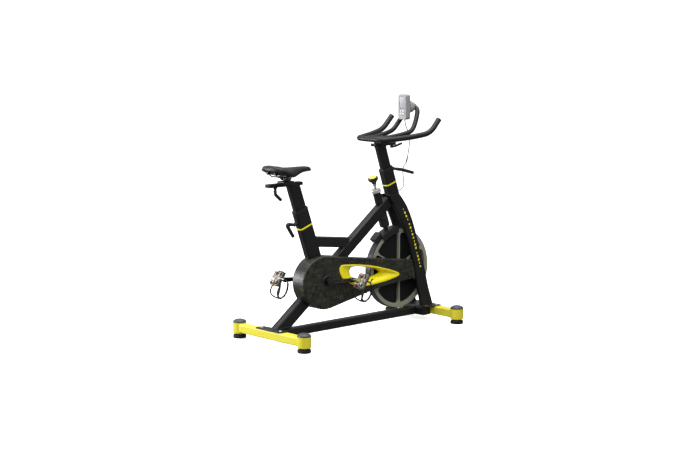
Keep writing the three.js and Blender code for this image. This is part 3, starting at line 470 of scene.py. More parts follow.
def shade(obj, sharp=38, weighted=True):
    mesh = obj.data
    bm = bmesh.new()
    bm.from_mesh(mesh)
    for f in bm.faces:
        f.smooth = True
    for e in bm.edges:
        e.smooth = not (len(e.link_faces) != 2 or e.calc_face_angle(0) > math.radians(sharp))
    bm.to_mesh(mesh)
    bm.free()
    if weighted:
        w = obj.modifiers.new("weighted normals", "WEIGHTED_NORMAL")
        w.keep_sharp = True
        w.weight = 60


def bake(obj):
    """Applies the object's modifiers to its mesh."""
    dg = bpy.context.evaluated_depsgraph_get()
    dg.update()
    mesh = bpy.data.meshes.new_from_object(obj.evaluated_get(dg))
    obj.modifiers.clear()
    old = obj.data
    obj.data = mesh
    bpy.data.meshes.remove(old)
    return obj


def boolean(obj, cutters, op="DIFFERENCE"):
    for i, c in enumerate(cutters):
        m = obj.modifiers.new(f"b{i}", "BOOLEAN")
        m.object, m.operation, m.solver = c, op, "EXACT"
    bake(obj)
    for c in cutters:
        data = c.data
        bpy.data.objects.remove(c)
        bpy.data.meshes.remove(data)
    return obj


def scratch(geo, mat=None):
    """A helper object, used to cut another and then removed."""
    mesh = bpy.data.meshes.new("cutter")
    mesh.from_pydata([v * 0.001 for v in geo.v], [], geo.f)
    bm = bmesh.new()
    bm.from_mesh(mesh)
    bmesh.ops.remove_doubles(bm, verts=bm.verts, dist=4e-6)
    bmesh.ops.recalc_face_normals(bm, faces=bm.faces)
    bm.to_mesh(mesh)
    bm.free()
    obj = bpy.data.objects.new("cutter", mesh)
    collection.objects.link(obj)
    if mat is not None:
        mesh.materials.append(mat)
    return obj


# ------------------------------------------------------------------ materials
def lin(r, g, b):
    f = lambda c: c / 255 / 12.92 if c / 255 <= 0.04045 else ((c / 255 + 0.055) / 1.055) ** 2.4
    return (f(r), f(g), f(b), 1)


class Mat:
    """A Principled material built up node by node, on object coordinates in metres."""

    def __init__(self, name, color, rough, metal=0.0, spec=0.5):
        self.m = bpy.data.materials.new(name)
        self.m.use_nodes = True
        self.t = self.m.node_tree
        self.n = self.t.nodes
        self.b = self.n["Principled BSDF"]
        self.b.inputs["Base Color"].default_value = color
        self.b.inputs["Roughness"].default_value = rough
        self.b.inputs["Metallic"].default_value = metal
        self.b.inputs["Specular IOR Level"].default_value = spec
        self.m.diffuse_color = color
        self.color, self.rough = color, rough
        self.coord = self.n.new("ShaderNodeTexCoord").outputs["Object"]
        self.height = None

    def link(self, a, b):
        self.t.links.new(a, b)

    def moved(self, offset=(0, 0, 0), scale=(1, 1, 1), src=None):
        k = self.n.new("ShaderNodeMapping")
        k.inputs["Location"].default_value = offset
        k.inputs["Scale"].default_value = scale
        self.link(src or self.coord, k.inputs["Vector"])
        return k.outputs[0]

    def noise(self, scale, detail=3.0, rough=0.55, src=None, distortion=0.0):
        k = self.n.new("ShaderNodeTexNoise")
        k.inputs["Scale"].default_value = scale
        k.inputs["Detail"].default_value = detail
        k.inputs["Roughness"].default_value = rough
        k.inputs["Distortion"].default_value = distortion
        self.link(src or self.coord, k.inputs["Vector"])
        return k.outputs["Fac"]

    def voronoi(self, scale, src=None, feature="F1", out="Distance"):
        k = self.n.new("ShaderNodeTexVoronoi")
        k.feature = feature
        k.inputs["Scale"].default_value = scale
        self.link(src or self.coord, k.inputs["Vector"])
        return k.outputs[out]

    def span(self, src, a, b, c, d, clamp=True):
        k = self.n.new("ShaderNodeMapRange")
        k.clamp = clamp
        for i, v in zip(("From Min", "From Max", "To Min", "To Max"), (a, b, c, d)):
            k.inputs[i].default_value = v
        self.link(src, k.inputs["Value"])
        return k.outputs["Result"]

    def math(self, op, a, b=None):
        k = self.n.new("ShaderNodeMath")
        k.operation = op
        for i, v in enumerate((a, b)):
            if v is None:
                continue
            if isinstance(v, (int, float)):
                k.inputs[i].default_value = v
            else:
                self.link(v, k.inputs[i])
        return k.outputs[0]

    def mix(self, fac, a, b):
        k = self.n.new("ShaderNodeMix")
        k.data_type = "RGBA"
        for i, v in ((0, fac), (6, a), (7, b)):
            if isinstance(v, (int, float, tuple)):
                k.inputs[i].default_value = v
            else:
                self.link(v, k.inputs[i])
        return k.outputs[2]

    def mottle(self, amount, scale=6.0):
        """The base colour varies a little over the surface."""
        c = self.color
        lo = tuple(v * (1 - amount) for v in c[:3]) + (1,)
        hi = tuple(min(1, v * (1 + amount)) for v in c[:3]) + (1,)
        self.link(self.mix(self.span(self.noise(scale, 4), 0.3, 0.7, 0, 1), lo, hi), self.b.inputs["Base Color"])
        return self

    def rough_var(self, amount, scale=14.0, fine=0.0):
        f = self.span(self.noise(scale, 5, 0.6), 0.3, 0.7, self.rough - amount, self.rough + amount)
        self.link(f, self.b.inputs["Roughness"])
        return self

    def bump(self, src, strength, distance=0.0003):
        k = self.n.new("ShaderNodeBump")
        k.inputs["Strength"].default_value = strength
        k.inputs["Distance"].default_value = distance
        self.link(src, k.inputs["Height"])
        if self.height is not None:
            self.link(self.height, k.inputs["Normal"])
        self.height = k.outputs["Normal"]
        self.link(self.height, self.b.inputs["Normal"])
        return self

    def coat(self, weight, rough=0.1):
        self.b.inputs["Coat Weight"].default_value = weight
        self.b.inputs["Coat Roughness"].default_value = rough
        return self


post_black = Mat("sliding_post_black", lin(13, 13, 14), 0.34, spec=0.4).mottle(0.1).rough_var(0.05)
post_black.bump(post_black.noise(900, 2, 0.5), 0.06, 0.0004)
# satin black powder coat on the frame tubes
paint_black = Mat("satin_black_powder_coat", lin(19, 19, 20), 0.42, spec=0.34).mottle(0.12).rough_var(0.05)
paint_black.bump(paint_black.noise(900, 2, 0.5), 0.10, 0.0004).bump(paint_black.noise(60, 2), 0.05, 0.001)
# the same coat on welds
weld_black = Mat("coated_weld", lin(22, 22, 23), 0.5, spec=0.38).rough_var(0.08, 120)
weld_black.bump(weld_black.noise(500, 3), 0.35, 0.0006)
# glossy yellow powder coat
paint_yellow = Mat("yellow_powder_coat", lin(222, 211, 54), 0.36, spec=0.42).mottle(0.03).rough_var(0.05)
paint_yellow.bump(paint_yellow.noise(800, 2, 0.5), 0.08, 0.0004)
# moulded yellow trim
trim_yellow = Mat("yellow_gloss_trim", lin(246, 230, 16), 0.26, spec=0.5).mottle(0.03).rough_var(0.04).coat(0.25, 0.08)
trim_yellow.bump(trim_yellow.noise(300, 2), 0.03, 0.0004)
# moulded dark grey caps
cap_grey = Mat("moulded_dark_grey", lin(62, 62, 64), 0.42, spec=0.45).mottle(0.1, 30).rough_var(0.06, 40)
cap_grey.bump(cap_grey.voronoi(1500), 0.22, 0.0003)
# black rubber of the feet
rubber = Mat("black_rubber", lin(22, 22, 22), 0.72, spec=0.35).mottle(0.2, 40).rough_var(0.08, 60)
rubber.bump(rubber.noise(1100, 4), 0.3, 0.0003)
# satin moulded black plastic: levers, knob, carriages
plastic = Mat("satin_black_plastic", lin(22, 22, 23), 0.46, spec=0.42).mottle(0.15, 25).rough_var(0.07, 30)
plastic.bump(plastic.voronoi(1700), 0.18, 0.00025)
# glossy black of the crank arms
gloss_black = Mat("gloss_black_alloy", lin(14, 14, 15), 0.22, spec=0.5).mottle(0.1, 20).rough_var(0.05, 30).coat(0.4, 0.08)
gloss_black.bump(gloss_black.noise(700, 2), 0.05, 0.0003)
# bright plated steel: axles, bolts, rods
steel = Mat("plated_steel", lin(176, 178, 180), 0.26, metal=1.0).mottle(0.08, 60).rough_var(0.08, 120)
steel.bump(steel.noise(1400, 3), 0.08, 0.0001)
# brushed alloy: clip plates, collar
alloy = Mat("brushed_alloy", lin(200, 198, 190), 0.34, metal=0.85).mottle(0.08, 50)
alloy.link(alloy.span(alloy.noise(1.0, 4, 0.6, alloy.moved(scale=(60, 2600, 60))), 0.3, 0.7, 0.24, 0.46), alloy.b.inputs["Roughness"])
alloy.bump(alloy.noise(1.0, 3, 0.6, alloy.moved(scale=(80, 3000, 80))), 0.12, 0.0002)
gold = Mat("yellow_passivated_steel", lin(214, 200, 84), 0.3, metal=0.55).mottle(0.18, 120).rough_var(0.08, 150)
gold.bump(gold.noise(900, 3), 0.1, 0.0002)
red = Mat("red_anodised", lin(168, 26, 20), 0.3, metal=0.35).mottle(0.15, 90).rough_var(0.06, 120)
red.bump(red.noise(1200, 2), 0.08, 0.0001)
# iron flywheel: warm grey machined face, dark coated rim and web
def turned_mat(name, color, rough, metal, ring=2200, depth=0.22, spec=0.4):
    m = Mat(name, color, rough, metal=metal, spec=spec)
    c = m.moved(offset=(-HUB.x / 1000, 0, -HUB.z / 1000))
    s = m.n.new("ShaderNodeSeparateXYZ")
    m.link(c, s.inputs[0])
    rad = m.math("SQRT", m.math("ADD", m.math("MULTIPLY", s.outputs[0], s.outputs[0]), m.math("MULTIPLY", s.outputs[2], s.outputs[2])))
    j = m.n.new("ShaderNodeCombineXYZ")
    m.link(m.math("MULTIPLY", rad, ring), j.inputs[0])
    m.link(m.math("MULTIPLY", s.outputs[1], ring), j.inputs[1])
    m.link(m.math("MULTIPLY", m.math("ARCTAN2", s.outputs[2], s.outputs[0]), 1.1), j.inputs[2])
    f = m.noise(1.0, 3, 0.6, j.outputs[0])
    m.link(m.span(f, 0.3, 0.7, rough - 0.07, rough + 0.09), m.b.inputs["Roughness"])
    c0 = tuple(v * 0.9 for v in color[:3]) + (1,)
    c1 = tuple(min(1, v * 1.1) for v in color[:3]) + (1,)
    m.link(m.mix(m.span(f, 0.3, 0.7, 0, 1), c0, c1), m.b.inputs["Base Color"])
    m.bump(f, depth, 0.0002)
    return m
fly_face = turned_mat("machined_iron_face", lin(158, 158, 142), 0.42, 0.35)
fly_rim = turned_mat("coated_iron_rim", lin(46, 46, 50), 0.36, 0.2, ring=900, depth=0.12)
fly_web = Mat("cast_black_web", lin(14, 14, 15), 0.62, spec=0.25).mottle(0.2, 30)
fly_web.bump(fly_web.noise(260, 5), 0.35, 0.0008)
# soft grip skin of the handlebar
grip = Mat("dipped_grip", lin(15, 15, 15), 0.48, spec=0.4).mottle(0.12, 12).rough_var(0.06, 20)
grip.bump(grip.voronoi(900), 0.16, 0.0004).bump(grip.noise(45, 3), 0.06, 0.0015)
# saddle cover: fine synthetic leather
cover_leather = Mat("saddle_synthetic_leather", lin(17, 17, 18), 0.54, spec=0.42).mottle(0.14, 14).rough_var(0.08, 24)
cover_leather.bump(cover_leather.voronoi(620, feature="DISTANCE_TO_EDGE"), 0.16, 0.0003).bump(cover_leather.noise(70, 3), 0.05, 0.001)
shell_plastic = Mat("saddle_shell_plastic", lin(17, 17, 18), 0.62, spec=0.25).mottle(0.12, 20).rough_var(0.06, 30)
shell_plastic.bump(shell_plastic.noise(700, 3), 0.14, 0.0003)
# console
console_grey = Mat("console_grey_plastic", lin(146, 146, 148), 0.46, spec=0.45).mottle(0.04, 20).rough_var(0.06, 40)
console_grey.bump(console_grey.voronoi(1500), 0.14, 0.0002)
console_face = Mat("console_face_panel", lin(134, 134, 138), 0.38, spec=0.45).mottle(0.03, 30).rough_var(0.05, 40)
console_face.bump(console_face.noise(1600, 2), 0.08, 0.0002)
screen = Mat("screen_with_painted_reflection", lin(130, 131, 137), 0.42, spec=0.3).coat(0.12, 0.3)
# painted reflection: the screen's base colour grows lighter diagonally towards its top, standing in for a glossy streak
# of light on the glass
g = screen.n.new("ShaderNodeSeparateXYZ")
screen.link(screen.coord, g.inputs[0])
screen.link(screen.mix(screen.span(screen.math("ADD", g.outputs[2], screen.math("MULTIPLY", g.outputs[1], 0.6)), 1.245, 1.32, 0, 1), lin(130, 132, 138), lin(184, 185, 190)), screen.b.inputs["Base Color"])
screen.bump(screen.noise(900, 2), 0.03, 0.0001)
segment = Mat("screen_segment", lin(104, 106, 112), 0.3).mottle(0.05, 200)
segment.bump(segment.noise(900, 2), 0.05, 0.0001)
key_white = Mat("white_key_rubber", lin(214, 215, 216), 0.55).mottle(0.03, 120).rough_var(0.05, 90)
key_white.bump(key_white.noise(1500, 3), 0.16, 0.0002)
lead_grey = Mat("light_grey_lead", lin(96, 97, 100), 0.5, spec=0.4).mottle(0.05, 90).rough_var(0.06, 90)
lead_grey.bump(lead_grey.noise(1500, 3), 0.15, 0.0002)
belt_rubber = Mat("belt_rubber", lin(18, 18, 18), 0.78, spec=0.3).mottle(0.15, 60).rough_var(0.06, 90)
belt_rubber.bump(belt_rubber.noise(1.0, 2, 0.5, belt_rubber.moved(scale=(900, 2600, 900))), 0.4, 0.0005)
strap_web = Mat("woven_strap", lin(20, 20, 21), 0.8, spec=0.25)
wv = strap_web.n.new("ShaderNodeTexWave")
wv.inputs["Scale"].default_value = 420
wv.inputs["Distortion"].default_value = 1.2
strap_web.link(strap_web.coord, wv.inputs["Vector"])
strap_web.bump(wv.outputs["Fac"], 0.5, 0.0004).mottle(0.2, 60)
strap_web.rough_var(0.06, 80)

# belt cover: satin black with a faint generic pattern of blocks and bars in olive
cover_mat = Mat("cover_patterned_black", lin(22, 22, 22), 0.4, spec=0.48)
cm = cover_mat


def flat_blocks(offset, width, height, seed_shift, keep):
    """Random blocks in the plane of the cover: 1 where a block is printed."""
    s = cm.n.new("ShaderNodeSeparateXYZ")
    cm.link(cm.moved(offset=offset), s.inputs[0])
    j = cm.n.new("ShaderNodeCombineXYZ")
    cm.link(s.outputs[0], j.inputs[0])
    cm.link(s.outputs[2], j.inputs[1])
    k = cm.n.new("ShaderNodeTexBrick")
    k.offset, k.squash, k.offset_frequency, k.squash_frequency = 0.37, 1.6, 2, 3
    k.inputs["Color1"].default_value = (0, 0, 0, 1)
    k.inputs["Color2"].default_value = (1, 1, 1, 1)
    k.inputs["Mortar"].default_value = (0, 0, 0, 1)
    k.inputs["Scale"].default_value = 1.0
    k.inputs["Mortar Size"].default_value = min(width, height) * 0.16
    k.inputs["Mortar Smooth"].default_value = 0.05
    k.inputs["Bias"].default_value = seed_shift
    k.inputs["Brick Width"].default_value = width
    k.inputs["Row Height"].default_value = height
    cm.link(j.outputs[0], k.inputs["Vector"])
    return cm.span(k.outputs["Color"], keep, keep + 0.02, 0, 1)


big = flat_blocks((0.013, 0, 0.004), 0.026, 0.034, 0.0, 0.50)
mid = flat_blocks((0.21, 0, 0.11), 0.013, 0.017, 0.0, 0.46)
bars = flat_blocks((0.5, 0, 0.3), 0.0052, 0.024, 0.0, 0.52)
pick = cm.span(cm.noise(13, 0, src=cm.moved(scale=(1, 0.01, 2.2))), 0.47, 0.475, 0, 1)
pick2 = cm.span(cm.noise(17, 0, src=cm.moved(offset=(3, 0, 5), scale=(1, 0.01, 2.6))), 0.5, 0.505, 0, 1)
pattern = cm.math("MAXIMUM", cm.math("MULTIPLY", big, pick), cm.math("MAXIMUM", cm.math("MULTIPLY", mid, pick2), cm.math("MULTIPLY", bars, cm.math("SUBTRACT", 1.0, pick2))))
fade = cm.span(cm.noise(6, 2), 0.35, 0.7, 0.35, 1.0)
pattern = cm.math("MULTIPLY", pattern, fade)
cm.link(cm.mix(pattern, lin(19, 19, 19), lin(56, 56, 38)), cm.b.inputs["Base Color"])
cm.link(cm.span(pattern, 0, 1, 0.38, 0.54), cm.b.inputs["Roughness"])
cm.bump(cm.voronoi(1400), 0.16, 0.0003).bump(pattern, 0.05, 0.0002)
cover_plain = Mat("cover_black", lin(22, 22, 22), 0.38, spec=0.5).mottle(0.1, 20).rough_var(0.06, 30)
cover_plain.bump(cover_plain.voronoi(1400), 0.16, 0.0003)

cast_silver = Mat("cast_silver_alloy", lin(150, 148, 141), 0.32, metal=0.75).mottle(0.12, 70).rough_var(0.08, 90)
cast_silver.bump(cast_silver.noise(900, 3), 0.12, 0.0002)
M = {k: v.m for k, v in dict(
    cast=cast_silver,
    post=post_black, paint=paint_black, weld=weld_black, yellow=paint_yellow, trim=trim_yellow, cap=cap_grey, rubber=rubber, plastic=plastic, gloss=gloss_black,
    steel=steel, alloy=alloy, gold=gold, red=red, face=fly_face, rim=fly_rim, web=fly_web, grip=grip, leather=cover_leather, shell=shell_plastic,
    console=console_grey, panel=console_face, screen=screen, segment=segment, key=key_white, lead=lead_grey, belt=belt_rubber, strap=strap_web,
    cover=cover_mat, cover_plain=cover_plain).items()}

# ------------------------------------------------------------------ floor and light
floor_mat = Mat("pale_floor", lin(246, 246, 247), 0.85, spec=0.2).mottle(0.004, 0.6)
floor_mat.bump(floor_mat.noise(8, 2), 0.02, 0.001)
ft = floor_mat.t
flp = ft.nodes.new("ShaderNodeLightPath")
fem, fdim = ft.nodes.new("ShaderNodeEmission"), ft.nodes.new("ShaderNodeEmission")
fem.inputs["Strength"].default_value = 0.62
fdim.inputs["Strength"].default_value = 0.24
fadd, fmix = ft.nodes.new("ShaderNodeAddShader"), ft.nodes.new("ShaderNodeMixShader")
ft.links.new(floor_mat.b.outputs[0], fadd.inputs[0])
ft.links.new(fem.outputs[0], fadd.inputs[1])
ft.links.new(flp.outputs["Is Camera Ray"], fmix.inputs[0])
ft.links.new(fdim.outputs[0], fmix.inputs[1])
ft.links.new(fadd.outputs[0], fmix.inputs[2])
ft.links.new(fmix.outputs[0], ft.nodes["Material Output"].inputs["Surface"])
fm = bpy.data.meshes.new("floor")
R = 400.0
fm.from_pydata([(R * math.cos(math.pi * k / 32), R * math.sin(math.pi * k / 32), 0) for k in range(64)], [], [tuple(range(64))])
floor = bpy.data.objects.new("floor", fm)
collection.objects.link(floor)
fm.materials.append(floor_mat.m)
floor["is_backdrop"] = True

world = bpy.data.worlds.new("studio")
scene.world = world
world.use_nodes = True
wt = world.node_tree
bg = wt.nodes["Background"]
tc = wt.nodes.new("ShaderNodeTexCoord")
sx = wt.nodes.new("ShaderNodeSeparateXYZ")
wt.links.new(tc.outputs["Generated"], sx.inputs[0])
mr = wt.nodes.new("ShaderNodeMapRange")
for i, v in zip(("From Min", "From Max", "To Min", "To Max"), (0.05, 0.85, 0.0, 0.95)):
    mr.inputs[i].default_value = v
wt.links.new(sx.outputs[2], mr.inputs["Value"])
# the horizon is dimmer where the side of the bike that the photograph shows faces
side = wt.nodes.new("ShaderNodeVectorMath")
side.operation = "DOT_PRODUCT"
side.inputs[1].default_value = (0.68, 0.73, 0)
wt.links.new(tc.outputs["Generated"], side.inputs[0])
hz = wt.nodes.new("ShaderNodeMapRange")
for i, v in zip(("From Min", "From Max", "To Min", "To Max"), (-0.8, 0.9, 0.07, 0.19)):
    hz.inputs[i].default_value = v
wt.links.new(side.outputs["Value"], hz.inputs["Value"])
total = wt.nodes.new("ShaderNodeMath")
total.operation = "ADD"
wt.links.new(mr.outputs["Result"], total.inputs[0])
wt.links.new(hz.outputs["Result"], total.inputs[1])
lp = wt.nodes.new("ShaderNodeLightPath")
mx = wt.nodes.new("ShaderNodeMix")
mx.data_type = "FLOAT"
wt.links.new(lp.outputs["Is Camera Ray"], mx.inputs[0])
wt.links.new(total.outputs[0], mx.inputs[2])
mx.inputs[3].default_value = 1.0
wt.links.new(mx.outputs[0], bg.inputs["Strength"])
bg.inputs["Color"].default_value = (1, 1, 1, 1)


def softbox(name, loc, at, size, power):
    d = bpy.data.lights.new(name, "AREA")
    d.shape, d.size, d.size_y, d.energy = "RECTANGLE", size[0], size[1], power
    o = bpy.data.objects.new(name, d)
    collection.objects.link(o)
    o.location = loc
    o.visible_camera = False
    o.rotation_mode = "QUATERNION"
    o.rotation_quaternion = (Vector(at) - Vector(loc)).to_track_quat("-Z", "Y")
    return o


softbox("overhead", (-0.4, -0.2, 4.6), (0, 0, 0.5), (5.0, 4.0), 230)
softbox("left_strip", (-3.7, 3.3, 1.15), (0, 0, 0.6), (1.5, 2.2), 210)
softbox("front_fill", (-3.4, -4.6, 4.2), (0, 0, 0.5), (3.0, 2.4), 150)

# ------------------------------------------------------------------ base: stabilizers, caps, feet
for end, sx_ in (("rear", -1), ("front", 1)):
    x = sx_ * FOOT_X
    g = Geo()
    zc = (BAR_Z0 + BAR_Z1) / 2
    g.bar((x, -FOOT_Y, zc), (x, FOOT_Y, zc), BAR_Z1 - BAR_Z0, BAR_W, 7, 6, side=Z, end=0.4)
    for sy in (-1, 1):
        g.lathe([(0, END_Z0), (35.2, END_Z0), (36.9, END_Z0 + 0.7), (FOOT_R, END_Z0 + 2.2), (FOOT_R, END_Z0 + 6.6), (FOOT_R - 0.9, END_Z0 + 7.4), (FOOT_R, END_Z0 + 8.2), (FOOT_R, END_Z1 - 5), (FOOT_R - 0.7, END_Z1 - 4.3), (FOOT_R - 0.2, END_Z1 - 3.4), (FOOT_R - 0.2, END_Z1 - 0.9), (FOOT_R - 1.1, END_Z1), (31.5, END_Z1), (31, END_Z1 - 6), (0, END_Z1 - 6)], (x, sy * FOOT_Y, 0), Z, 72)
        # seam bead where the round end meets the square tube
        pts = []
        for a, b in rrect(BAR_Z1 - BAR_Z0 + 0.6, BAR_W + 0.6, 7.3, 5):
            pts.append(Vector((x + b, sy * (FOOT_Y - math.sqrt(max(FOOT_R**2 - b * b, 1))), zc + a)))
        pts.append(pts[0])
        g.tube(pts, 1.1, 8, end=0.1, step=2.2)
    make(f"{end}_stabilizer_shell", g, M["yellow"], "frame", [f"{end}_stabilizer"])
    for side, sy in (("right", -1), ("left", 1)):
        p = (x, sy * FOOT_Y, 0)
        g = Geo()
        dome = [(FOOT_R - 0.2, END_Z1 + 4.6)] + [(FOOT_R * math.cos(math.radians(a)) ** 0.8, END_Z1 + 4.6 + 15.6 * math.sin(math.radians(a)) ** 1.25) for a in (14, 24, 34, 44, 54, 64, 72, 78)]
        g.lathe([(0, END_Z1 - 4), (30.4, END_Z1 - 4), (30.4, END_Z1 + 0.3), (FOOT_R - 0.6, END_Z1 + 0.3), (FOOT_R, END_Z1 + 0.9), (FOOT_R, END_Z1 + 4.0)] + dome + [(9.5, END_Z1 + 19.9), (8.6, END_Z1 + 19.2), (7.6, END_Z1 + 19.7), (4, END_Z1 + 20.2), (0, END_Z1 + 20.3)], p, Z, 72)
        make(f"{end}_cap_{side}_dome", g, M["cap"], "frame", [f"{end}_cap_{side}"], sharp=50, weighted=False)
        # levelling foot: ribbed rubber pad, steel stud and lock nut
        g = Geo()
        rib = lambda a, r, h: (r + (0.9 * (0.5 + 0.5 * math.cos(28 * a)) if 3.5 < h < 15.5 and r > 35 else 0), h)
        g.lathe([(0, 0), (33.2, 0), (35, 0.7), (36, 2.4), (36, 4), (35.9, 9), (36, 15), (36, 16.5), (34.6, 18.4), (30.5, 19.6), (29, 20.4), (22, 21.4), (0, 21.6)], p, Z, 168, 0, shape=rib)
        g.lathe([(0, 21), (19, 21), (19.6, 21.8), (19.6, 23.4), (18.8, 24), (0, 24)], p, Z, 40, 1)
        g.rings([[Vector((p[0] + 14.6 * k * math.cos(math.pi * j / 3 + 0.3), p[1] + 14.6 * k * math.sin(math.pi * j / 3 + 0.3), h)) for j in range(6)] for k, h in ((0.93, 23.8), (1, 24.3), (1, 26.2), (0.93, 26.7))], mat=1)
        g.lathe([(0, 24), (7, 24), (7, 64), (5.5, 66), (0, 66)], p, Z, 24, 1)
        make(f"{end}_foot_{side}_pad", g, [M["rubber"], M["steel"]], f"{end}_foot_{side}", [f"{end}_foot_{side}"], sharp=32, weighted=False)

# base rail: square tube with three low ribs along its top
def rail_section(w, h, r):
    sec = rrect(h, w, r, 6)
    return sec
g = Geo()
RAIL_X0, RAIL_X1 = -FOOT_X + BAR_W / 2 + 0.3, 496
sec = []
for a, b in rrect(52, 46, 9, 6):
    sec.append((a, b))
g.sweep([(RAIL_X0, 0, 54), (RAIL_X1, 0, 54)], lambda s, L: sec, side=Y, step=1e9, end=0.5)
make("base_rail_tube", g, M["paint"], "frame", ["base_rail"])
g = Geo()
for yy in (-12, 0, 12):
    g.bar((RAIL_X0 + 26, yy, 77.0), (RAIL_X1 - 26, yy, 77.0), 4.6, 0.9, 0.4, 2, end=0.3)
make("base_rail_ribs", g, M["paint"], "frame")

# front bracket: saddle block, top plate, bolts
g = Geo()
g.box((RAIL_X1 + 0.3, -86, 32), (FOOT_X - BAR_W / 2 - 0.3, 86, 84), 4, "z", 1.0)
plate_xy = lambda a, b, d: Vector((a, b, d))
oct_ = round_corners2([(RAIL_X1 + 1, -104), (RAIL_X1 + 14, -122), (FOOT_X + BAR_W / 2 - 4, -122), (FOOT_X + BAR_W / 2 + 1, -112), (FOOT_X + BAR_W / 2 + 1, 112), (FOOT_X + BAR_W / 2 - 4, 122), (RAIL_X1 + 14, 122), (RAIL_X1 + 1, 104)], 8)
g.plate(oct_, [], BAR_Z1 + 5.8, BAR_Z1 + 0.3, 1.2, place=plate_xy)
make("front_bracket_plates", g, M["paint"], "frame", ["front_mount_bracket"])
g = Geo()
for yy in (-106, 106):
    g.dome_bolt((FOOT_X, yy, BAR_Z1 + 5.8), Z, 8.5, 5, 3.2)
for yy in (-95, 95):
    g.dome_bolt((RAIL_X1 + 18, yy * 0.98, BAR_Z1 + 5.8), Z, 5.5, 3.2, 2.2)
make("front_bracket_bolts", g, M["steel"], "frame")

# ------------------------------------------------------------------ frame tubes
def tube_shell(p0, p1, w, h, r, wall=2.0, mouth=34, n=7, mat=0, g=None, lip=1.0):
    """A rounded box tube from p0 to its open mouth at p1."""
    g = g or Geo()
    p0, p1 = Vector(p0), Vector(p1)
    t = (p1 - p0).normalized()
    sd = Y
    up = t.cross(sd)
    def ring(q, ww, hh, rr):
        return [q + sd * a + up * b for a, b in rrect(ww, hh, rr, n)]
    g.rings([ring(p0, w, h, r), ring(p1 - t * lip, w, h, r), ring(p1 - t * lip * 0.3, w - lip * 0.5, h - lip * 0.5, r - lip * 0.3), ring(p1, w - lip * 1.6, h - lip * 1.6, r - lip * 0.8),
             ring(p1, w - 2 * wall - 0.6, h - 2 * wall - 0.6, r - wall), ring(p1 - t * 1, w - 2 * wall - 1, h - 2 * wall - 1, r - wall), ring(p1 - t * mouth, w - 2 * wall - 1, h - 2 * wall - 1, r - wall)], mat=mat)
    return g


def collar(p1, u, w, h, r, iw, ih, ir, low, high, g=None, n=7, mat=0):
    """A plastic sleeve at a tube's mouth: stands out round the tube and closes in to the post."""
    g = g or Geo()
    u = Vector(u)
    up = u.cross(Y)
    def ring(s, ww, hh, rr):
        q = Vector(p1) + u * s
        return [q + Y * a + up * b for a, b in rrect(ww, hh, rr, n)]
    rows = [(low, w, h, r), (low + 0.8, w + 1.2, h + 1.2, r + 0.6), (high - 1.2, w + 1.2, h + 1.2, r + 0.6), (high, w - 0.6, h - 0.6, r - 0.3), (high, iw + 0.9, ih + 0.9, ir + 0.4), (high - 6, iw + 0.7, ih + 0.7, ir + 0.3), (low - 20, iw + 0.7, ih + 0.7, ir + 0.3), (low - 20, w - 4.5, h - 4.5, r - 2.5), (low - 0.2, w - 4.5, h - 4.5, r - 2.5)]
    g.rings([ring(*row) for row in rows], mat=mat, loop=True)
    return g


SEAT_BOT = along(SEAT_TOP, US, -404)
g = tube_shell(SEAT_BOT, SEAT_TOP, *SEAT_TUBE, 14, mouth=322)
seat_lever_at = along(along(SEAT_TOP, US, -64), SEAT_BACK, SEAT_TUBE[1] / 2)
g.lathe([(0, -2.3), (15, -2.3), (14.6, 0.2), (13.3, 1.4), (13, 2.2), (13, 8), (12.2, 9), (7.4, 9), (6.8, 8.2), (6.8, -1.8), (0, -1.8)], seat_lever_at, SEAT_BACK, 48)
seat_tube_obj = make("seat_tube_shell", g, M["paint"], "frame", ["seat_tube"])
g = collar(SEAT_TOP, US, *SEAT_TUBE, 14, *SEAT_POST, 7.5, -13, 2.5)
make("seat_tube_collar", g, M["plastic"], "frame")

g = tube_shell(along(HEAD_TOP, UH, -196), HEAD_TOP, *HEAD_TUBE, 13, mouth=180)
bar_lever_at = along(along(HEAD_TOP, UH, -26), HEAD_FWD, HEAD_TUBE[1] / 2)
g.lathe([(0, -2.3), (15, -2.3), (14.6, 0.2), (13.3, 1.4), (13, 2.2), (13, 8), (12.2, 9), (7.4, 9), (6.8, 8.2), (6.8, -1.8), (0, -1.8)], bar_lever_at, HEAD_FWD, 48)
head_tube_obj = make("head_tube_shell", g, M["paint"], "frame", ["head_tube"], finish=False)
g = Geo()
g.bar(along(HEAD_TOP, UH, -240), along(HEAD_TOP, UH, -150), BAR_POST[0] + 3, BAR_POST[1] + 3, 8, 6)
boolean(head_tube_obj, [scratch(g, M["paint"])])
shade(head_tube_obj)
g = collar(HEAD_TOP, UH, *HEAD_TUBE, 13, *BAR_POST, 7.5, -13, 2.5)
make("head_tube_collar", g, M["plastic"], "frame")


# painted yellow bands
def band(name, top, u, s0, size, r, width):
    g = Geo()
    up = Vector(u).cross(Y)
    def ring(s, grow):
        q = along(top, u, s)
        return [q + Y * a + up * b for a, b in rrect(size[0] + 2 * grow, size[1] + 2 * grow, r + grow, 10)]
    h = width / 2
    g.rings([ring(s0 - h, -0.4), ring(s0 - h, 0.22), ring(s0 - h + 0.5, 0.42), ring(s0 + h - 0.5, 0.42), ring(s0 + h, 0.22), ring(s0 + h, -0.4)], loop=True)
    make(name, g, M["trim"], "frame")


band("seat_tube_band", SEAT_TOP, US, -101, SEAT_TUBE, 14, 9.0)
band("head_tube_band", HEAD_TOP, UH, -93, HEAD_TUBE, 13, 8.0)

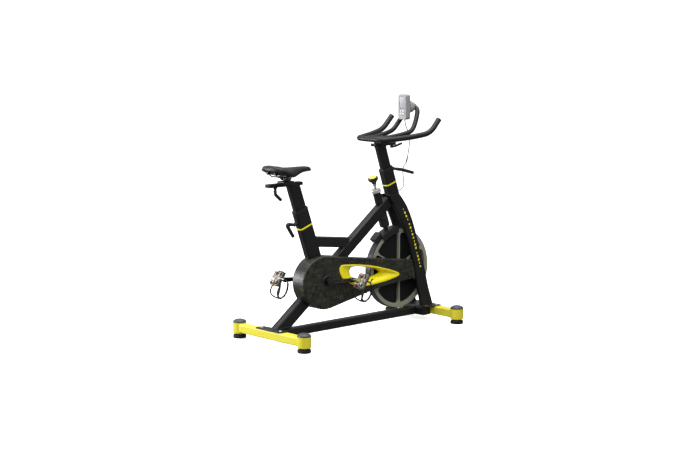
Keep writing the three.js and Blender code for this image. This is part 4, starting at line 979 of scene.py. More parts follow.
# rear leg with its foot plate
g = Geo()
leg_sec = rrect(50, 82, 20, 10)
g.sweep([along(LEG_AT, LEG_DIR, -60), along(LEG_AT, LEG_DIR, 352)], lambda s, L: leg_sec, side=Y, step=1e9, end=0.5)
rear_leg_obj = make("rear_leg_tube", g, M["paint"], "frame", ["rear_leg"], finish=False)
g = Geo()
g.box((-760, -80, -60), (-300, 80, 79), 2, "z", 0.01, 1)
boolean(rear_leg_obj, [scratch(g, M["paint"])])
shade(rear_leg_obj)
g = Geo()
pl = round_corners2([(-FOOT_X - 29, -98), (-FOOT_X - 22, -106), (-FOOT_X + 26, -106), (-FOOT_X + 33, -98), (-FOOT_X + 33, 98), (-FOOT_X + 26, 106), (-FOOT_X - 22, 106), (-FOOT_X - 29, 98)], 6)
g.plate(pl, [], BAR_Z1 + 5, BAR_Z1 + 0.3, 1.0, place=plate_xy)
make("rear_leg_foot_plate", g, M["paint"], "frame")
g = Geo()
for yy in (-78, 78):
    g.dome_bolt((-FOOT_X, yy, BAR_Z1 + 5), Z, 9, 5.6, 3.4)
make("rear_foot_plate_bolts", g, M["steel"], "frame")

# diagonal tube, top tube
g = Geo()
diag_sec = rrect(DIAG[0], DIAG[1], 8, 6)
g.sweep([along(DIAG_AT, DIAG_DIR, -415), along(DIAG_AT, DIAG_DIR, 236)], lambda s, L: diag_sec, side=Y, step=1e9, end=0.5)
diagonal_obj = make("diagonal_tube_shell", g, M["paint"], "frame", ["diagonal_tube"])
g = Geo()
top_sec = rrect(44, 58, 8, 6)
g.sweep([(-318, 0, 542.8), (-30, 0, 508.5)], lambda s, L: top_sec, side=Y, step=1e9, end=0.5)
top_tube_obj = make("top_tube_shell", g, M["paint"], "frame", ["top_tube"])

# fork legs: tapered flat box tubes with a spindle plate
FORK_T = 24
fork_rows = [[88.4, 494, 588, 81], [190, 473, 557, 75], [320, 448, 527, 67.5], [389, 431, 505, 63.5], [475, 408, 481, 59], [555, 377, 458, 54.5], [620, 345, 434, 50.5], [690, 303, 400, 44.5], [752, 263, 352, 41.6]]


def fork_ring(row, sy, t=FORK_T, grow=0.0, r=8.0):
    z, xr, xf, yo = row
    return [Vector(((xr + xf) / 2 + a, sy * (yo - t / 2) + b, z)) for a, b in rrect(xf - xr + 2 * grow, t + 2 * grow, r, 5)]


dense_rows = []
cr = catmull([Vector((r[1], r[2], r[0])) for r in fork_rows], 5)
cy = catmull([Vector((r[3], 0, r[0])) for r in fork_rows], 5)
for a, b in zip(cr, cy):
    dense_rows.append([a.z, a.x, a.y, b.x])
for side, sy in (("right", -1), ("left", 1)):
    g = Geo()
    rows = [r for r in dense_rows]
    g.rings([fork_ring([rows[0][0]] + rows[0][1:], sy, grow=-0.5)] + [fork_ring(r, sy) for r in rows[:-1]] + [fork_ring([rows[-1][0] - 0.6] + rows[-1][1:], sy), fork_ring(rows[-1], sy, grow=-0.6)])
    fork_obj = make(f"fork_leg_{side}_shell", g, M["paint"], "frame", [f"fork_leg_{side}"])
    # spindle plate behind the leg
    g = Geo()
    out = arc2(HUB.x, HUB.z, 22, 60, 300, 30) + [(468, 290), (466, 352)]
    hole = arc2(HUB.x, HUB.z, 8.4, 0, 345, 23)
    g.plate(out, [hole], sy * 57, sy * 52, 0.8, back_r=0.8)
    make(f"spindle_plate_{side}", g, M["paint"], "frame")
# a row of plain yellow dashes down the right leg, and its twin on the left
for side, sy in (("right", -1), ("left", 1)):
    g = Geo()
    tops = [r for r in dense_rows]
    def fork_face(z):
        for a, b in zip(tops, tops[1:]):
            if a[0] <= z <= b[0]:
                w = (z - a[0]) / (b[0] - a[0])
                return [a[i] * (1 - w) + b[i] * w for i in range(4)]
        return tops[-1]
    zz = 664.0
    k = 0
    while zz > 312:
        if k in (4, 12):
            zz -= 8
        row = fork_face(zz)
        hi, lo_ = fork_face(zz + (6.2 if k % 4 else 4.4)), fork_face(zz - (6.2 if k % 4 else 4.4))
        cx = lambda r: (r[1] + r[2]) / 2 + 4
        wdt = 5.4 if k % 3 else 2.2
        face = lambda r: sy * (r[3] + 0.28)
        deep = lambda r: sy * (r[3] - 0.4)
        lean_ = 1.6
        def quad(f):
            return [Vector((cx(hi) - wdt + lean_, f(hi), hi[0])), Vector((cx(hi) + wdt + lean_, f(hi), hi[0])), Vector((cx(lo_) + wdt - lean_, f(lo_), lo_[0])), Vector((cx(lo_) - wdt - lean_, f(lo_), lo_[0]))]
        g.rings([quad(face), quad(deep)])
        zz -= 20.4
        k += 1
    make(f"fork_leg_{side}_dashes", g, M["trim"], "frame", weighted=False, sharp=20)

# ------------------------------------------------------------------ weld beads where one tube meets the next
def tree_of(obj):
    m = obj.data
    return BVHTree.FromPolygons([v.co.copy() for v in m.vertices], [tuple(p.vertices) for p in m.polygons])


def weld(name, start, direction, section, side, target, r=2.3, reach=600, keep=lambda h: True):
    """A rippled bead where a tube, running from start along direction, meets the target."""
    g = Geo()
    tree, d = tree_of(target), Vector(direction).normalized()
    sd = Vector(side)
    up = d.cross(sd)
    hits = []
    for a, b in section:
        o = Vector(start) + sd * a + up * b
        hit = tree.ray_cast(o * 0.001, d, reach * 0.001)
        hits.append(None if hit[0] is None or not keep(hit[0] * 1000) else hit[0] * 1000)
    n = len(hits)
    runs, i = [], 0
    if all(h is not None for h in hits):
        runs = [hits + [hits[0]]]
    else:
        k0 = next((k for k in range(n) if hits[k] is None), 0)
        run = []
        for k in range(n):
            h = hits[(k0 + k) % n]
            if h is None:
                if len(run) > 3:
                    runs.append(run)
                run = []
            else:
                run.append(h)
        if len(run) > 3:
            runs.append(run)
    for run in runs:
        part = [run[0]]
        pieces_ = []
        for q in run[1:]:
            if (q - part[-1]).length > 26:
                pieces_.append(part)
                part = []
            part.append(q)
        pieces_.append(part)
        for part in pieces_:
            if len(part) > 2 and Path(part).length > 12:
                line = even(part, 1.1)
                g.tube(line, lambda s, L: r * (1 + 0.13 * math.sin(s * 2 * math.pi / 4.4)), 9, step=1.1, end=0.6)
    if g.f:
        make(name, g, M["weld"], "frame", weighted=False, sharp=60)


top_dir = (Vector((-30, 0, 508.5)) - Vector((-318, 0, 542.8))).normalized()
grow = lambda w, h, r: even2(rrect(w + 1.0, h + 1.0, r, 6), 3.0)
weld("weld_top_tube_seat", (-170, 0, 525.2), -top_dir, grow(44, 58, 8), Y, seat_tube_obj)
weld("weld_top_tube_diagonal", (-170, 0, 525.2), top_dir, grow(44, 58, 8), Y, diagonal_obj)
weld("weld_diagonal_head", along(DIAG_AT, DIAG_DIR, 0), DIAG_DIR, grow(48, 64, 8), Y, head_tube_obj, keep=lambda h: (h - HEAD_TOP).dot(UH) > -194 and (h - HEAD_TOP).dot(HEAD_FWD) < -HEAD_TUBE[1] / 2 + 14)
weld("weld_rear_leg_seat", along(LEG_AT, LEG_DIR, 120), LEG_DIR, grow(50, 82, 20), Y, seat_tube_obj)
# rear leg foot: a bead on the foot plate and the rail
g = Geo()
foot = []
for a, b in even2(leg_sec, 3.0):
    o = along(LEG_AT, LEG_DIR, 60) + Y * a + LEG_DIR.cross(Y) * b
    s = (o.z - (BAR_Z1 + 5.4)) / LEG_DIR.z
    foot.append(o - LEG_DIR * s)
foot.append(foot[0])
g.tube(even(foot, 1.1), lambda s, L: 2.2 * (1 + 0.13 * math.sin(s * 2 * math.pi / 4.4)), 9, step=1.1, end=0.3)
make("weld_rear_leg_foot", g, M["weld"], "frame", weighted=False, sharp=60)
for side, sy in (("right", -1), ("left", 1)):
    g = Geo()
    ring = [Vector((p.x, p.y, 88.8)) for p in fork_ring(fork_rows[0], sy)]
    g.tube(even(ring + [ring[0]], 1.1), lambda s, L: 2.1 * (1 + 0.13 * math.sin(s * 2 * math.pi / 4.4)), 9, step=1.1, end=0.3)
    row = fork_rows[-1]
    ring = [p for p in fork_ring(row, sy, grow=-2)]
    g.tube(even([Vector((p.x, p.y, 752.2)) for p in ring] + [Vector((ring[0].x, ring[0].y, 752.2))], 1.1), lambda s, L: 1.9 * (1 + 0.13 * math.sin(s * 2 * math.pi / 4.4)), 9, step=1.1, end=0.3)
    make(f"weld_fork_{side}", g, M["weld"], "frame", weighted=False, sharp=60)

# ------------------------------------------------------------------ belt cover, window trim
spl = spline2([[-200, 453], [-264, 458.5], [-330, 445], [-376, 411], [-405, 364], [-412, 316], [-403, 268], [-375, 221], [-325, 183], [-264, 162], [-205, 163.5]], 72)
straight = [(-190, 166.5), (150, 232), (190, 238.5), (250, 244), (330, 250), (454, 261), (446, 300), (432, 350), (427, 367.5), (216, 396), (-190, 451.6)]
cover_outline = spl + straight[:6] + straight[6:]
cover_outline = cover_outline[: len(spl) + 5] + [(448, 260.4), (453.4, 263.5)] + [(446.4, 299), (432.4, 349), (428.4, 363), (424, 367.9)] + [(216, 396), (-190, 451.6)]


def even_outline(p, step):
    """Every span longer than step is divided; the corners stay."""
    out = []
    for a, b in zip(p, p[1:] + p[:1]):
        d = math.hypot(b[0] - a[0], b[1] - a[1])
        n = max(1, int(round(d / step)))
        out += [(a[0] + (b[0] - a[0]) * k / n, a[1] + (b[1] - a[1]) * k / n) for k in range(n)]
    return out


cover_outline = even_outline(cover_outline, 12)
window_outer = spline2([[-141, 349], [-147, 373], [-137, 392], [-113, 397], [0, 386], [125, 363], [243, 330], [309, 306], [318, 294], [300, 283], [217, 268], [126, 260], [20, 257], [-8, 261], [-70, 287], [-122, 321], [-141, 349]], 144)[:-1]
window_hole = spline2([[-37, 350], [-26, 366], [-2, 370], [52, 364], [152, 341], [186, 323], [190, 317], [172, 309], [126, 298], [52, 298], [-8, 310], [-31, 328], [-37, 350]], 144)[:-1]
crank_hole = arc2(BB.x, BB.z, 21, 0, 352.5, 47)
screw_at = [(-372, 380), (-300, 184), (60, 226), (404, 268), (404, 354), (-60, 420)]
g = Geo()
face_holes = [inset(window_outer, 4), crank_hole] + [arc2(x, z, 4.4, 0, 337.5, 15) for x, z in screw_at]
# outer skin
g.plate(cover_outline, face_holes, COVER_Y0, COVER_SPLIT, 7.0, n=6, open_back=True)
skin = g
g2 = Geo()
g2.v, g2.f, g2.m = skin.v, skin.f, skin.m
right = make("belt_cover_right_shell", g2, M["cover"], "frame", ["belt_cover_right"], sharp=50, weighted=False, finish=False)
sol = right.modifiers.new("wall", "SOLIDIFY")
sol.thickness, sol.offset, sol.use_rim, sol.use_even_offset = 0.0024, -1, True, False
bake(right)
shade(right, 40)
# screws in their recesses
g = Geo()
for x, z in screw_at:
    g.lathe([(0, -3.2), (3.9, -3.2), (4.0, -1.4), (3.4, -0.8), (1.6, -0.6), (1.2, -1.5), (0, -1.6)], (x, COVER_Y0, z), -Y, 20)
    g.lathe([(4.35, -4), (4.35, -0.2), (4.9, 0.05), (5.2, -0.1), (5.2, -0.6), (4.6, -4)], (x, COVER_Y0, z), -Y, 24, 1, loop=True)
make("belt_cover_right_screws", g, [M["plastic"], M["cover_plain"]], "frame", weighted=False)
# raised ring round the crank opening
g = Geo()
g.lathe([(21.2, -3), (21.2, 1.6), (22.2, 2.2), (29, 2.2), (31, 1.4), (32, -0.2), (32, -3)], (BB.x, COVER_Y0, BB.z), -Y, 72, loop=True)
make("belt_cover_crank_ring", g, M["cover_plain"], "frame", weighted=False)

# the back half: a thin plate with a deeper bulge round the big pulley
bulge_outline = [p for p in cover_outline if p[0] <= -62]
k = next(i for i, p in enumerate(bulge_outline) if math.hypot(p[0] - bulge_outline[i - 1][0], p[1] - bulge_outline[i - 1][1]) > 60)
bulge_outline = bulge_outline[k:] + bulge_outline[:k]
a, b = bulge_outline[-1], bulge_outline[0]
bulge_outline = bulge_outline + [(-62, a[1] + (2 if a[1] < 300 else -2)), (-62, b[1] + (2 if b[1] < 300 else -2))]
g = Geo()
g.plate(bulge_outline, [], COVER_FAR, COVER_SPLIT + 0.3, 8.0, n=6, open_back=True)
left = make("belt_cover_left_shell", g, M["cover_plain"], "frame", ["belt_cover_left"], finish=False)
sol = left.modifiers.new("wall", "SOLIDIFY")
sol.thickness, sol.offset, sol.use_rim, sol.use_even_offset = 0.0024, -1, True, False
bake(left)
g = Geo()
g.bar(along(SEAT_TOP, US, -345), along(SEAT_TOP, US, -200), SEAT_TUBE[0] - 3, SEAT_TUBE[1] - 3, 12, 6)
boolean(left, [scratch(g, M["cover_plain"])])
shade(left, 40)
g = Geo()
g.plate(cover_outline, [inset(window_hole, -5.6), arc2(HUB.x, HUB.z, 20, 0, 350, 35)], COVER_BACK, COVER_SPLIT + 0.3, 0.8, n=2)
make("belt_cover_back_plate", g, M["cover_plain"], "frame")
g = Geo()
for x, z in [(-372, 380), (-396, 300), (-352, 214), (-262, 176), (-120, 192), (-90, 420), (-230, 446)]:
    g.dome_bolt((x, COVER_FAR, z) if x < -62 else (x, COVER_BACK, z), Y, 5, 2.6, 1.8)
make("belt_cover_left_screws", g, M["plastic"], "frame", weighted=False)

# window trim: flange, funnel and inner lip
mixo = lambda a, b, t: [(p[0] * (1 - t) + q[0] * t, p[1] * (1 - t) + q[1] * t) for p, q in zip(a, b)]
w_in = inset(window_outer, 8)
prof = catmull([Vector((0.0, -71.4, 0)), Vector((0.16, -70.0, 0)), Vector((0.45, -64, 0)), Vector((0.72, -54.5, 0)), Vector((0.87, -45, 0)), Vector((0.97, -34, 0)), Vector((1.0, -29, 0))], 4)
rows = [(window_outer, COVER_Y0 - 0.3), (inset(window_outer, -0.1), COVER_Y0 - 1.6), (inset(window_outer, 0.5), COVER_Y0 - 2.6), (inset(window_outer, 1.8), COVER_Y0 - 3.2), (inset(window_outer, 4), COVER_Y0 - 3.5)]
rows += [(mixo(w_in, window_hole, p.x), p.y) for p in prof]
inner = [(inset(mixo(w_in, window_hole, p.x), -2.4), p.y + (2.4 if p.x < 0.6 else 1.4 if p.x < 0.99 else 0)) for p in reversed(prof)]
rows += inner + [(inset(window_outer, 5.6), COVER_Y0 + 1.6), (inset(window_outer, 4.6), COVER_Y0 - 0.3)]
g = Geo()
g.rings([[Vector((x, y, z)) for x, z in o] for o, y in rows], loop=True)
make("cover_window_trim_bezel", g, M["trim"], "frame", ["cover_window_trim"], sharp=55, weighted=False)

# ------------------------------------------------------------------ cranks and pedals
ca = math.radians(CRANK_DEG)
for side, sy, dr in (("right", -1, 1), ("left", 1, -1)):
    e = Vector((BB.x + dr * CRANK_LEN * math.cos(ca), 0, BB.z + dr * CRANK_LEN * math.sin(ca)))
    ax = Vector((dr * math.cos(ca), 0, dr * math.sin(ca)))
    up = Vector((-dr * math.sin(ca), 0, dr * math.cos(ca)))
    place = lambda a, b, d: Vector((BB.x, 0, BB.z)) + ax * a + up * b + Y * (sy * d)
    # waisted arm outline
    ol = [(20 * math.cos(math.radians(t)), 20 * math.sin(math.radians(t))) for t in range(64, 297, 8)]
    lower = [(14, -16.8), (30, -14.6), (70, -12.6), (120, -11.8), (155, -12.2)]
    tip = [(180 + 14.5 * math.cos(math.radians(t)), 14.5 * math.sin(math.radians(t))) for t in range(-112, 113, 8)]
    upper = [(155, 12.2), (120, 11.8), (70, 12.6), (30, 14.6), (14, 16.8)]
    outline = ol + lower + tip + upper
    groove = round_corners2([(34, -6.2), (148, -5.2), (148, 5.2), (34, 6.2)], 4.8, 5)
    g = Geo()
    g.plate(outline, [groove, [(180 + 6.9 * math.cos(t * math.pi / 16), 6.9 * math.sin(t * math.pi / 16)) for t in range(32)]], 92, 77, 2.6, place=place, n=5, back_r=1.2)
    g.plate(inset(groove, -0.4), [], 90.2, 80, 0.2, place=place, n=1)
    bb = Vector((BB.x, 0, BB.z))
    yo = Y * sy
    g.lathe([(0, 73), (19.2, 73), (20, 74), (20, 92), (19, 94.2), (17, 95), (12.2, 95), (12, 93.6), (0, 93.6)], bb, yo, 64)
    crank_obj = make(f"crank_arm_{side}_forged", g, M["gloss"], "crank", [f"crank_arm_{side}"], sharp=40)
    g = Geo()
    cap_g = Geo()
    cap_g.lathe([(0, 93.2), (11.6, 93.2), (11.6, 94.2), (10.6, 94.8), (5.4, 94.8), (4.4, 92.8), (0, 92.6)], bb, yo, 36, 0)
    make(f"crank_arm_{side}_dust_cap", cap_g, M["plastic"], "crank", weighted=False)
    g.lathe([(7.0, 78), (9.6, 78), (10.4, 77.2), (7.0, 77.2)], e, yo, 36, 0, loop=True)
    g.lathe([(6.95, 92.0), (9.4, 92.0), (9.0, 92.8), (6.95, 92.8)], e, yo, 36, 0, loop=True)
    make(f"crank_arm_{side}_inserts", g, M["steel"], "crank", weighted=False)

    # pedal, all on its own body: u is forward, w up, d out from the middle plane
    body = f"pedal_{side}"
    px, pz = e.x, e.z
    P = lambda u, d, w: Vector((px + u, sy * d, pz + w))
    tc_, ts_ = math.cos(math.radians(PEDAL_TILT)), math.sin(math.radians(PEDAL_TILT))

    def tilted(gg):
        gg.v = [Vector((px + (v.x - px) * tc_ + (v.z - pz) * ts_, v.y, pz - (v.x - px) * ts_ + (v.z - pz) * tc_)) for v in gg.v]
        return gg

    def blk(gg, u0, u1, d0, d1, w0, w1, r=3, axis="z", edge=1.0, mat=0):
        lo = (px + u0, min(sy * d0, sy * d1), pz + w0)
        hi = (px + u1, max(sy * d0, sy * d1), pz + w1)
        gg.box(lo, hi, r, axis, edge, 5, mat)
    # axle
    g = Geo()
    g.lathe([(0, 80), (6.4, 80), (6.5, 80.5), (6.5, 96), (8.6, 97), (10, 98.5), (10, 104)] + [(10, 104.2), (8.6, 105), (8.6, 107), (10, 107.8), (10, 113), (9.2, 114.5), (7.6, 115.6), (7.2, 118), (0, 118)], (px, 0, pz), yo, 40, 0)
    g.rings([[P(11.5 * math.cos(math.pi * j / 3), d, 11.5 * math.sin(math.pi * j / 3)) for j in range(6)] for d in (98.6, 103.6)], mat=0)
    g.lathe([(0, 180), (8.8, 180), (9, 181), (9, 184.4), (8, 185.6), (4, 185.6), (3.4, 184.2), (0, 184)], (px, 0, pz), yo, 36, 0)
    make(f"pedal_{side}_axle", tilted(g), M["steel"], body, [f"pedal_{side}"], weighted=False)
    # resin frame: a ring with two cross members
    g = Geo()
    frame_out = round_corners2([(-45, 116), (47, 116), (47, 184), (-45, 184)], 12, 6)
    holes = [round_corners2([(17, 123), (38, 123), (38, 136), (17, 136)], 4, 4), round_corners2([(-37, 123), (-17, 123), (-17, 136), (-37, 136)], 4, 4), round_corners2([(17, 166), (38, 166), (38, 178), (17, 178)], 4, 4), round_corners2([(-37, 166), (-17, 166), (-17, 178), (-37, 178)], 4, 4)]
    g.plate(frame_out, holes, 8, -12, 2.0, place=lambda a, b, d: P(a, b, d), n=4, back_r=2.0)
    g.lathe([(0, 114.5), (13.2, 114.5), (14.2, 115.6), (14.2, 122), (12.6, 124), (12.6, 176), (14.2, 178), (14.2, 181.6), (13, 182.8), (9.4, 182.8), (0, 182.4)], (px, 0, pz), yo, 44, 0)
    for du in (-40, -32, -24, 26, 34, 42):
        for dd in (119.5, 180.5):
            g.lathe([(0, 7.4), (1.7, 7.4), (1.7, 9.4), (1.2, 9.9), (0, 9.9)], P(du, dd, 0), Z, 12, 0)
    make(f"pedal_{side}_body", tilted(g), M["cast"], body)
    # clip mechanism on the upper face: base plate, fixed claw, sprung jaw
    g = Geo()
    base = round_corners2([(-33, 133), (-26, 130), (28, 130), (36, 134), (36, 166), (28, 170), (-26, 170), (-33, 167)], 3, 4)
    g.plate(base, [round_corners2([(-8, 138), (8, 138), (8, 162), (-8, 162)], 4, 4)], 12.4, 8, 0.9, place=lambda a, b, d: P(a, b, d), n=3)
    # claw: a curved lip in front
    lip = [P(24, 139, 12), P(30, 139.5, 20), P(31, 141, 27), P(25, 144, 29.6)]
    for d0, d1 in ((137, 165),):
        sec = rrect(3.2, 28, 1.4, 4)
        g.sweep([Vector((px + 25, sy * 151, pz + 10)), Vector((px + 32, sy * 151, pz + 19)), Vector((px + 32.5, sy * 151, pz + 26)), Vector((px + 24, sy * 151, pz + 29.4))], lambda s, L: [(b, a) for a, b in sec], side=Y, step=1.5, end=1.0)
    g.box((px + 36, min(sy * 138, sy * 164), pz + 9), (px + 42, max(sy * 138, sy * 164), pz + 23), 2.4, "y", 1.2, 5)
    # side cheeks of the jaw
    cheek = round_corners2([(-41, 10), (-14, 10), (-13, 18), (-21, 27), (-34, 27), (-41, 20)], 4, 5)
    for d0 in (136.4, 161.6):
        lo_d, hi_d = sorted((sy * d0, sy * (d0 + 3.4)))
        g.plate(cheek, [arc2(-28, 17, 4.2, 0, 330, 11)], hi_d, lo_d, 0.8, place=lambda a, b, d: Vector((px + a, d, pz + b)), n=3, back_r=0.8)
    make(f"pedal_{side}_clip_plates", tilted(g), M["alloy"], body)
    # jaw plate and its yellow-plated binding
    g = Geo()
    sec = rrect(3.0, 25, 1.3, 4)
    g.sweep([Vector((px - 24, sy * 151, pz + 15)), Vector((px - 22, sy * 151, pz + 22)), Vector((px - 17, sy * 151, pz + 26)), Vector((px - 9, sy * 151, pz + 25))], lambda s, L: [(b, a) for a, b in sec], side=Y, step=1.5, end=1.0)
    g.box((px - 8, min(sy * 140, sy * 162), pz + 12.2), (px + 16, max(sy * 140, sy * 162), pz + 15.6), 3, "z", 0.8, 5)
    make(f"pedal_{side}_binding", tilted(g), M["steel"], body)
    g = Geo()
    blk(g, -3, 6, 141.4, 154, 15.6, 17.0, 2.4, "z", 0.5)
    blk(g, -45.6, -41, 143, 159, 2.5, 9.5, 1.6, "z", 0.6)
    make(f"pedal_{side}_gold_plates", tilted(g), M["gold"], body)
    g = Geo()
    for u0, u1 in ((-38, -12), (14, 39)):
        for d0, d1 in ((118.6, 122.6), (177.8, 181.6)):
            blk(g, u0, u1, d0, d1, 6.6, 8.8, 1.6, "z", 0.5)
    blk(g, -33, -13, 124.6, 134.6, -11, 6.5, 3, "z", 0.6)
    blk(g, 18.5, 36.5, 124.6, 134.6, -11, 6.5, 3, "z", 0.6)
    blk(g, -32, -14, 167.4, 176.6, -11, 6.5, 3, "z", 0.6)
    blk(g, 18.5, 36.5, 167.4, 176.6, -11, 6.5, 3, "z", 0.6)
    make(f"pedal_{side}_black_inlays", tilted(g), M["rubber"], body)
    # torsion springs, red tension barrels
    g = Geo()
    for c0, c1 in ((140.6, 148.6), (153.4, 161.4)):
        n = 5
        pts = []
        for k in range(n * 14 + 1):
            t = k / 14
            pts.append(P(-28 + 6.6 * math.cos(2 * math.pi * t), c0 + (c1 - c0) * t / n, 17 + 6.6 * math.sin(2 * math.pi * t)))
        g.tube(pts, 0.78, 8, step=1.3, end=0.4)
    g.lathe([(0, 134.8), (3.6, 134.8), (3.6, 135.8), (2.4, 136.4), (2.4, 165.6), (3.6, 166.2), (3.6, 167.2), (0, 167.2)], P(-28, 0, 17), yo, 24, 0)
    make(f"pedal_{side}_springs", tilted(g), M["steel"], body, weighted=False)
    g = Geo()
    knob_ = lambda a, r, h: (r - (0.5 * (0.5 + 0.5 * math.cos(14 * a)) if r > 7.4 else 0), h)
    g.lathe([(0, 184.0), (7.6, 184.0), (8.2, 184.4), (8.2, 185.5), (5.6, 185.9), (4.6, 185.6), (4.4, 184.8), (0, 184.6)], P(0, 0, 0), yo, 84, 0, shape=knob_)
    for du in (-37.5,):
        g.lathe([(0, 140), (4.6, 140), (5.2, 140.6), (5.2, 161.4), (4.6, 162), (0, 162)], P(du, 0, 12.5), yo, 42, 0, shape=lambda a, r, h: (r - (0.45 * (0.5 + 0.5 * math.cos(14 * a)) if r > 5 else 0), h))
    g.lathe([(0, 12.2), (6.8, 12.2), (7.2, 12.8), (7.2, 17.6), (6.2, 18.4), (3, 18.4), (2.6, 17), (0, 17)], P(21, 151, 0), Z, 42, 0, shape=lambda a, r, h: (r - (0.5 * (0.5 + 0.5 * math.cos(14 * a)) if r > 7 else 0), h))
    make(f"pedal_{side}_red_parts", tilted(g), M["red"], body, weighted=False)
    # toe cage: two hoops, base bars, centre plate
    g = Geo()
    y0_ = PEDAL_Y
    for d0, d1 in ((117, 122), (178, 183)):
        lo_d, hi_d = sorted((sy * d0, sy * d1))
        g.box((px - 44, lo_d, pz - 16), (px + 50, hi_d, pz - 12.2), 2, "z", 0.8, 4)
    for d0 in (119, 181):
        lo_d, hi_d = sorted((sy * (d0 - 3.2), sy * (d0 + 3.2)))
        g.box((px - 42, lo_d, pz - 14), (px - 34, hi_d, pz - 8), 2, "z", 0.8, 4)
        g.box((px + 10, lo_d, pz - 14), (px + 18, hi_d, pz - 8), 2, "z", 0.8, 4)
    tilted(g)
    hoop_a = [P(21, y0_ - 30, 2.5), P(52, y0_ - 31, -20), P(48, y0_ - 30, -62), P(34, y0_ - 26, -95), P(14, y0_ - 17, -112), P(14, y0_ + 17, -112), P(34, y0_ + 26, -95), P(48, y0_ + 30, -62), P(52, y0_ + 31, -20), P(21, y0_ + 30, 2.5)]
    hoop_b = [P(-7.9, y0_ - 30, -40.9), P(-26, y0_ - 31, -70), P(-20, y0_ - 26, -96), P(8, y0_ - 17, -113), P(8, y0_ + 17, -113), P(-20, y0_ + 26, -96), P(-26, y0_ + 31, -70), P(-7.9, y0_ + 30, -40.9)]
    for hoop in (hoop_a, hoop_b):
        g.tube(smooth_line(even(rounded(hoop, 22, 10), 2.0), 6), 4.3, 16, step=2.2, end=0.2)
    lo_d, hi_d = sorted((sy * (y0_ - 20), sy * (y0_ + 20)))
    g.box((px + 3, lo_d, pz - 117), (px + 19, hi_d, pz - 108), 4, "z", 2.2, 5)
    make(f"toe_cage_{side}_hoops", g, M["plastic"], body, [f"toe_cage_{side}"], sharp=45)
    # strap through the cage sides and over the hoops, with its buckle
    g = Geo()
    strap_line = smooth_line(even(rounded([P(24, y0_ - 35.4, -2), P(51, y0_ - 36.2, -20), P(50, y0_ - 35.4, -60), P(36, y0_ - 31.6, -95), P(19, y0_ - 20, -118.6), P(19, y0_ + 20, -118.6), P(36, y0_ + 31.6, -95), P(50, y0_ + 35.4, -60), P(51, y0_ + 36.2, -20), P(24, y0_ + 35.4, -2)], 18, 8), 2.0), 4)
    path = Path(strap_line)
    rings_ = []
    m_ = int(path.length / 3)
    for i in range(m_ + 1):
        s = path.length * i / m_
        t = path.tangent(s)
        q = path.at(s)
        out_ = (q - P(0, y0_, -50))
        out_.x *= 0.25
        out_ = (out_ - t * out_.dot(t)).normalized()
        wd = t.cross(out_)
        rings_.append([q + wd * a + out_ * b for a, b in rrect(11, 1.6, 0.7, 3)])
    g.rings(rings_)
    make(f"toe_strap_{side}", g, M["strap"], body, weighted=False)
    g = Geo()
    bc, bt = path.at(path.length * 0.945), path.tangent(path.length * 0.945)
    bo = bc - P(0, y0_, -50)
    bo.x *= 0.25
    bo = (bo - bt * bo.dot(bt)).normalized()
    bw = bt.cross(bo)
    pl_ = lambda a, b, d: bc + bt * a + bw * b + bo * d
    g.plate(round_corners2([(-11.5, -10.4), (11.5, -10.4), (11.5, 10.4), (-11.5, 10.4)], 5, 6), [round_corners2([(-8, -7), (8, -7), (8, 7), (-8, 7)], 3.4, 5)], 2.8, 0.9, 0.6, place=pl_, n=3)
    g.tube([pl_(0, -7, 2.2), pl_(0, 7, 2.2)], 1.3, 12, step=3, end=0.5)
    tail = smooth_line(even([pl_(-2, 0, 3.4), pl_(10, 0, 8), pl_(16, 2, 17), pl_(14, 4, 28)], 1.5), 6)
    tl = Geo()
    tw = Vector(bw)
    tl.sweep(tail, lambda s, L: [(a_, b_) for a_, b_ in rrect(11, 1.6, 0.7, 3)], side=tw, step=2.0, end=0.6)
    make(f"toe_strap_{side}_tail", tl, M["strap"], body, weighted=False)
    make(f"toe_strap_{side}_buckle", g, M["alloy"], body)

# ------------------------------------------------------------------ flywheel
def rounded_sector(r0, r1, a0, a1, half, fr_out, fr_in):
    """A window between two spokes: its long sides keep half a spoke's width clear of the spoke's line, and its outer corners flare."""
    out = []
    def side_pt(r, ang, sgn, h):
        a = math.radians(ang)
        return (r * math.cos(a) - sgn * h * math.sin(a), r * math.sin(a) + sgn * h * math.cos(a))
    def spoke_h(r):
        t = max(0.0, (r - (r1 - fr_out)) / fr_out)
        u = max(0.0, ((r0 + fr_in) - r) / fr_in)
        return half + fr_out * 0.62 * (1 - math.sqrt(max(0.0, 1 - t * t))) + fr_in * 0.6 * (1 - math.sqrt(max(0.0, 1 - u * u)))
    n = 44
    rs = [r0 + (r1 - r0) * (1 - math.cos(math.pi * k / n)) / 2 for k in range(n + 1)]
    for r in rs:
        out.append(side_pt(math.sqrt(max(r * r - spoke_h(r) ** 2, 1)), a0, 1, spoke_h(r)))
    p0, p1 = out[-1], side_pt(math.sqrt(r1 * r1 - spoke_h(r1) ** 2), a1, -1, spoke_h(r1))
    t0, t1 = math.degrees(math.atan2(p0[1], p0[0])), math.degrees(math.atan2(p1[1], p1[0]))
    if t1 < t0:
        t1 += 360
    out += arc2(0, 0, r1, t0, t1, 24)[1:-1]
    for r in reversed(rs):
        out.append(side_pt(math.sqrt(max(r * r - spoke_h(r) ** 2, 1)), a1, -1, spoke_h(r)))
    q0, q1 = out[-1], out[0]
    t0, t1 = math.degrees(math.atan2(q0[1], q0[0])), math.degrees(math.atan2(q1[1], q1[0]))
    if t1 > t0:
        t1 -= 360
    out += arc2(0, 0, r0, t0, t1, 8)[1:-1]
    return [(HUB.x + x, HUB.z + z) for x, z in out]


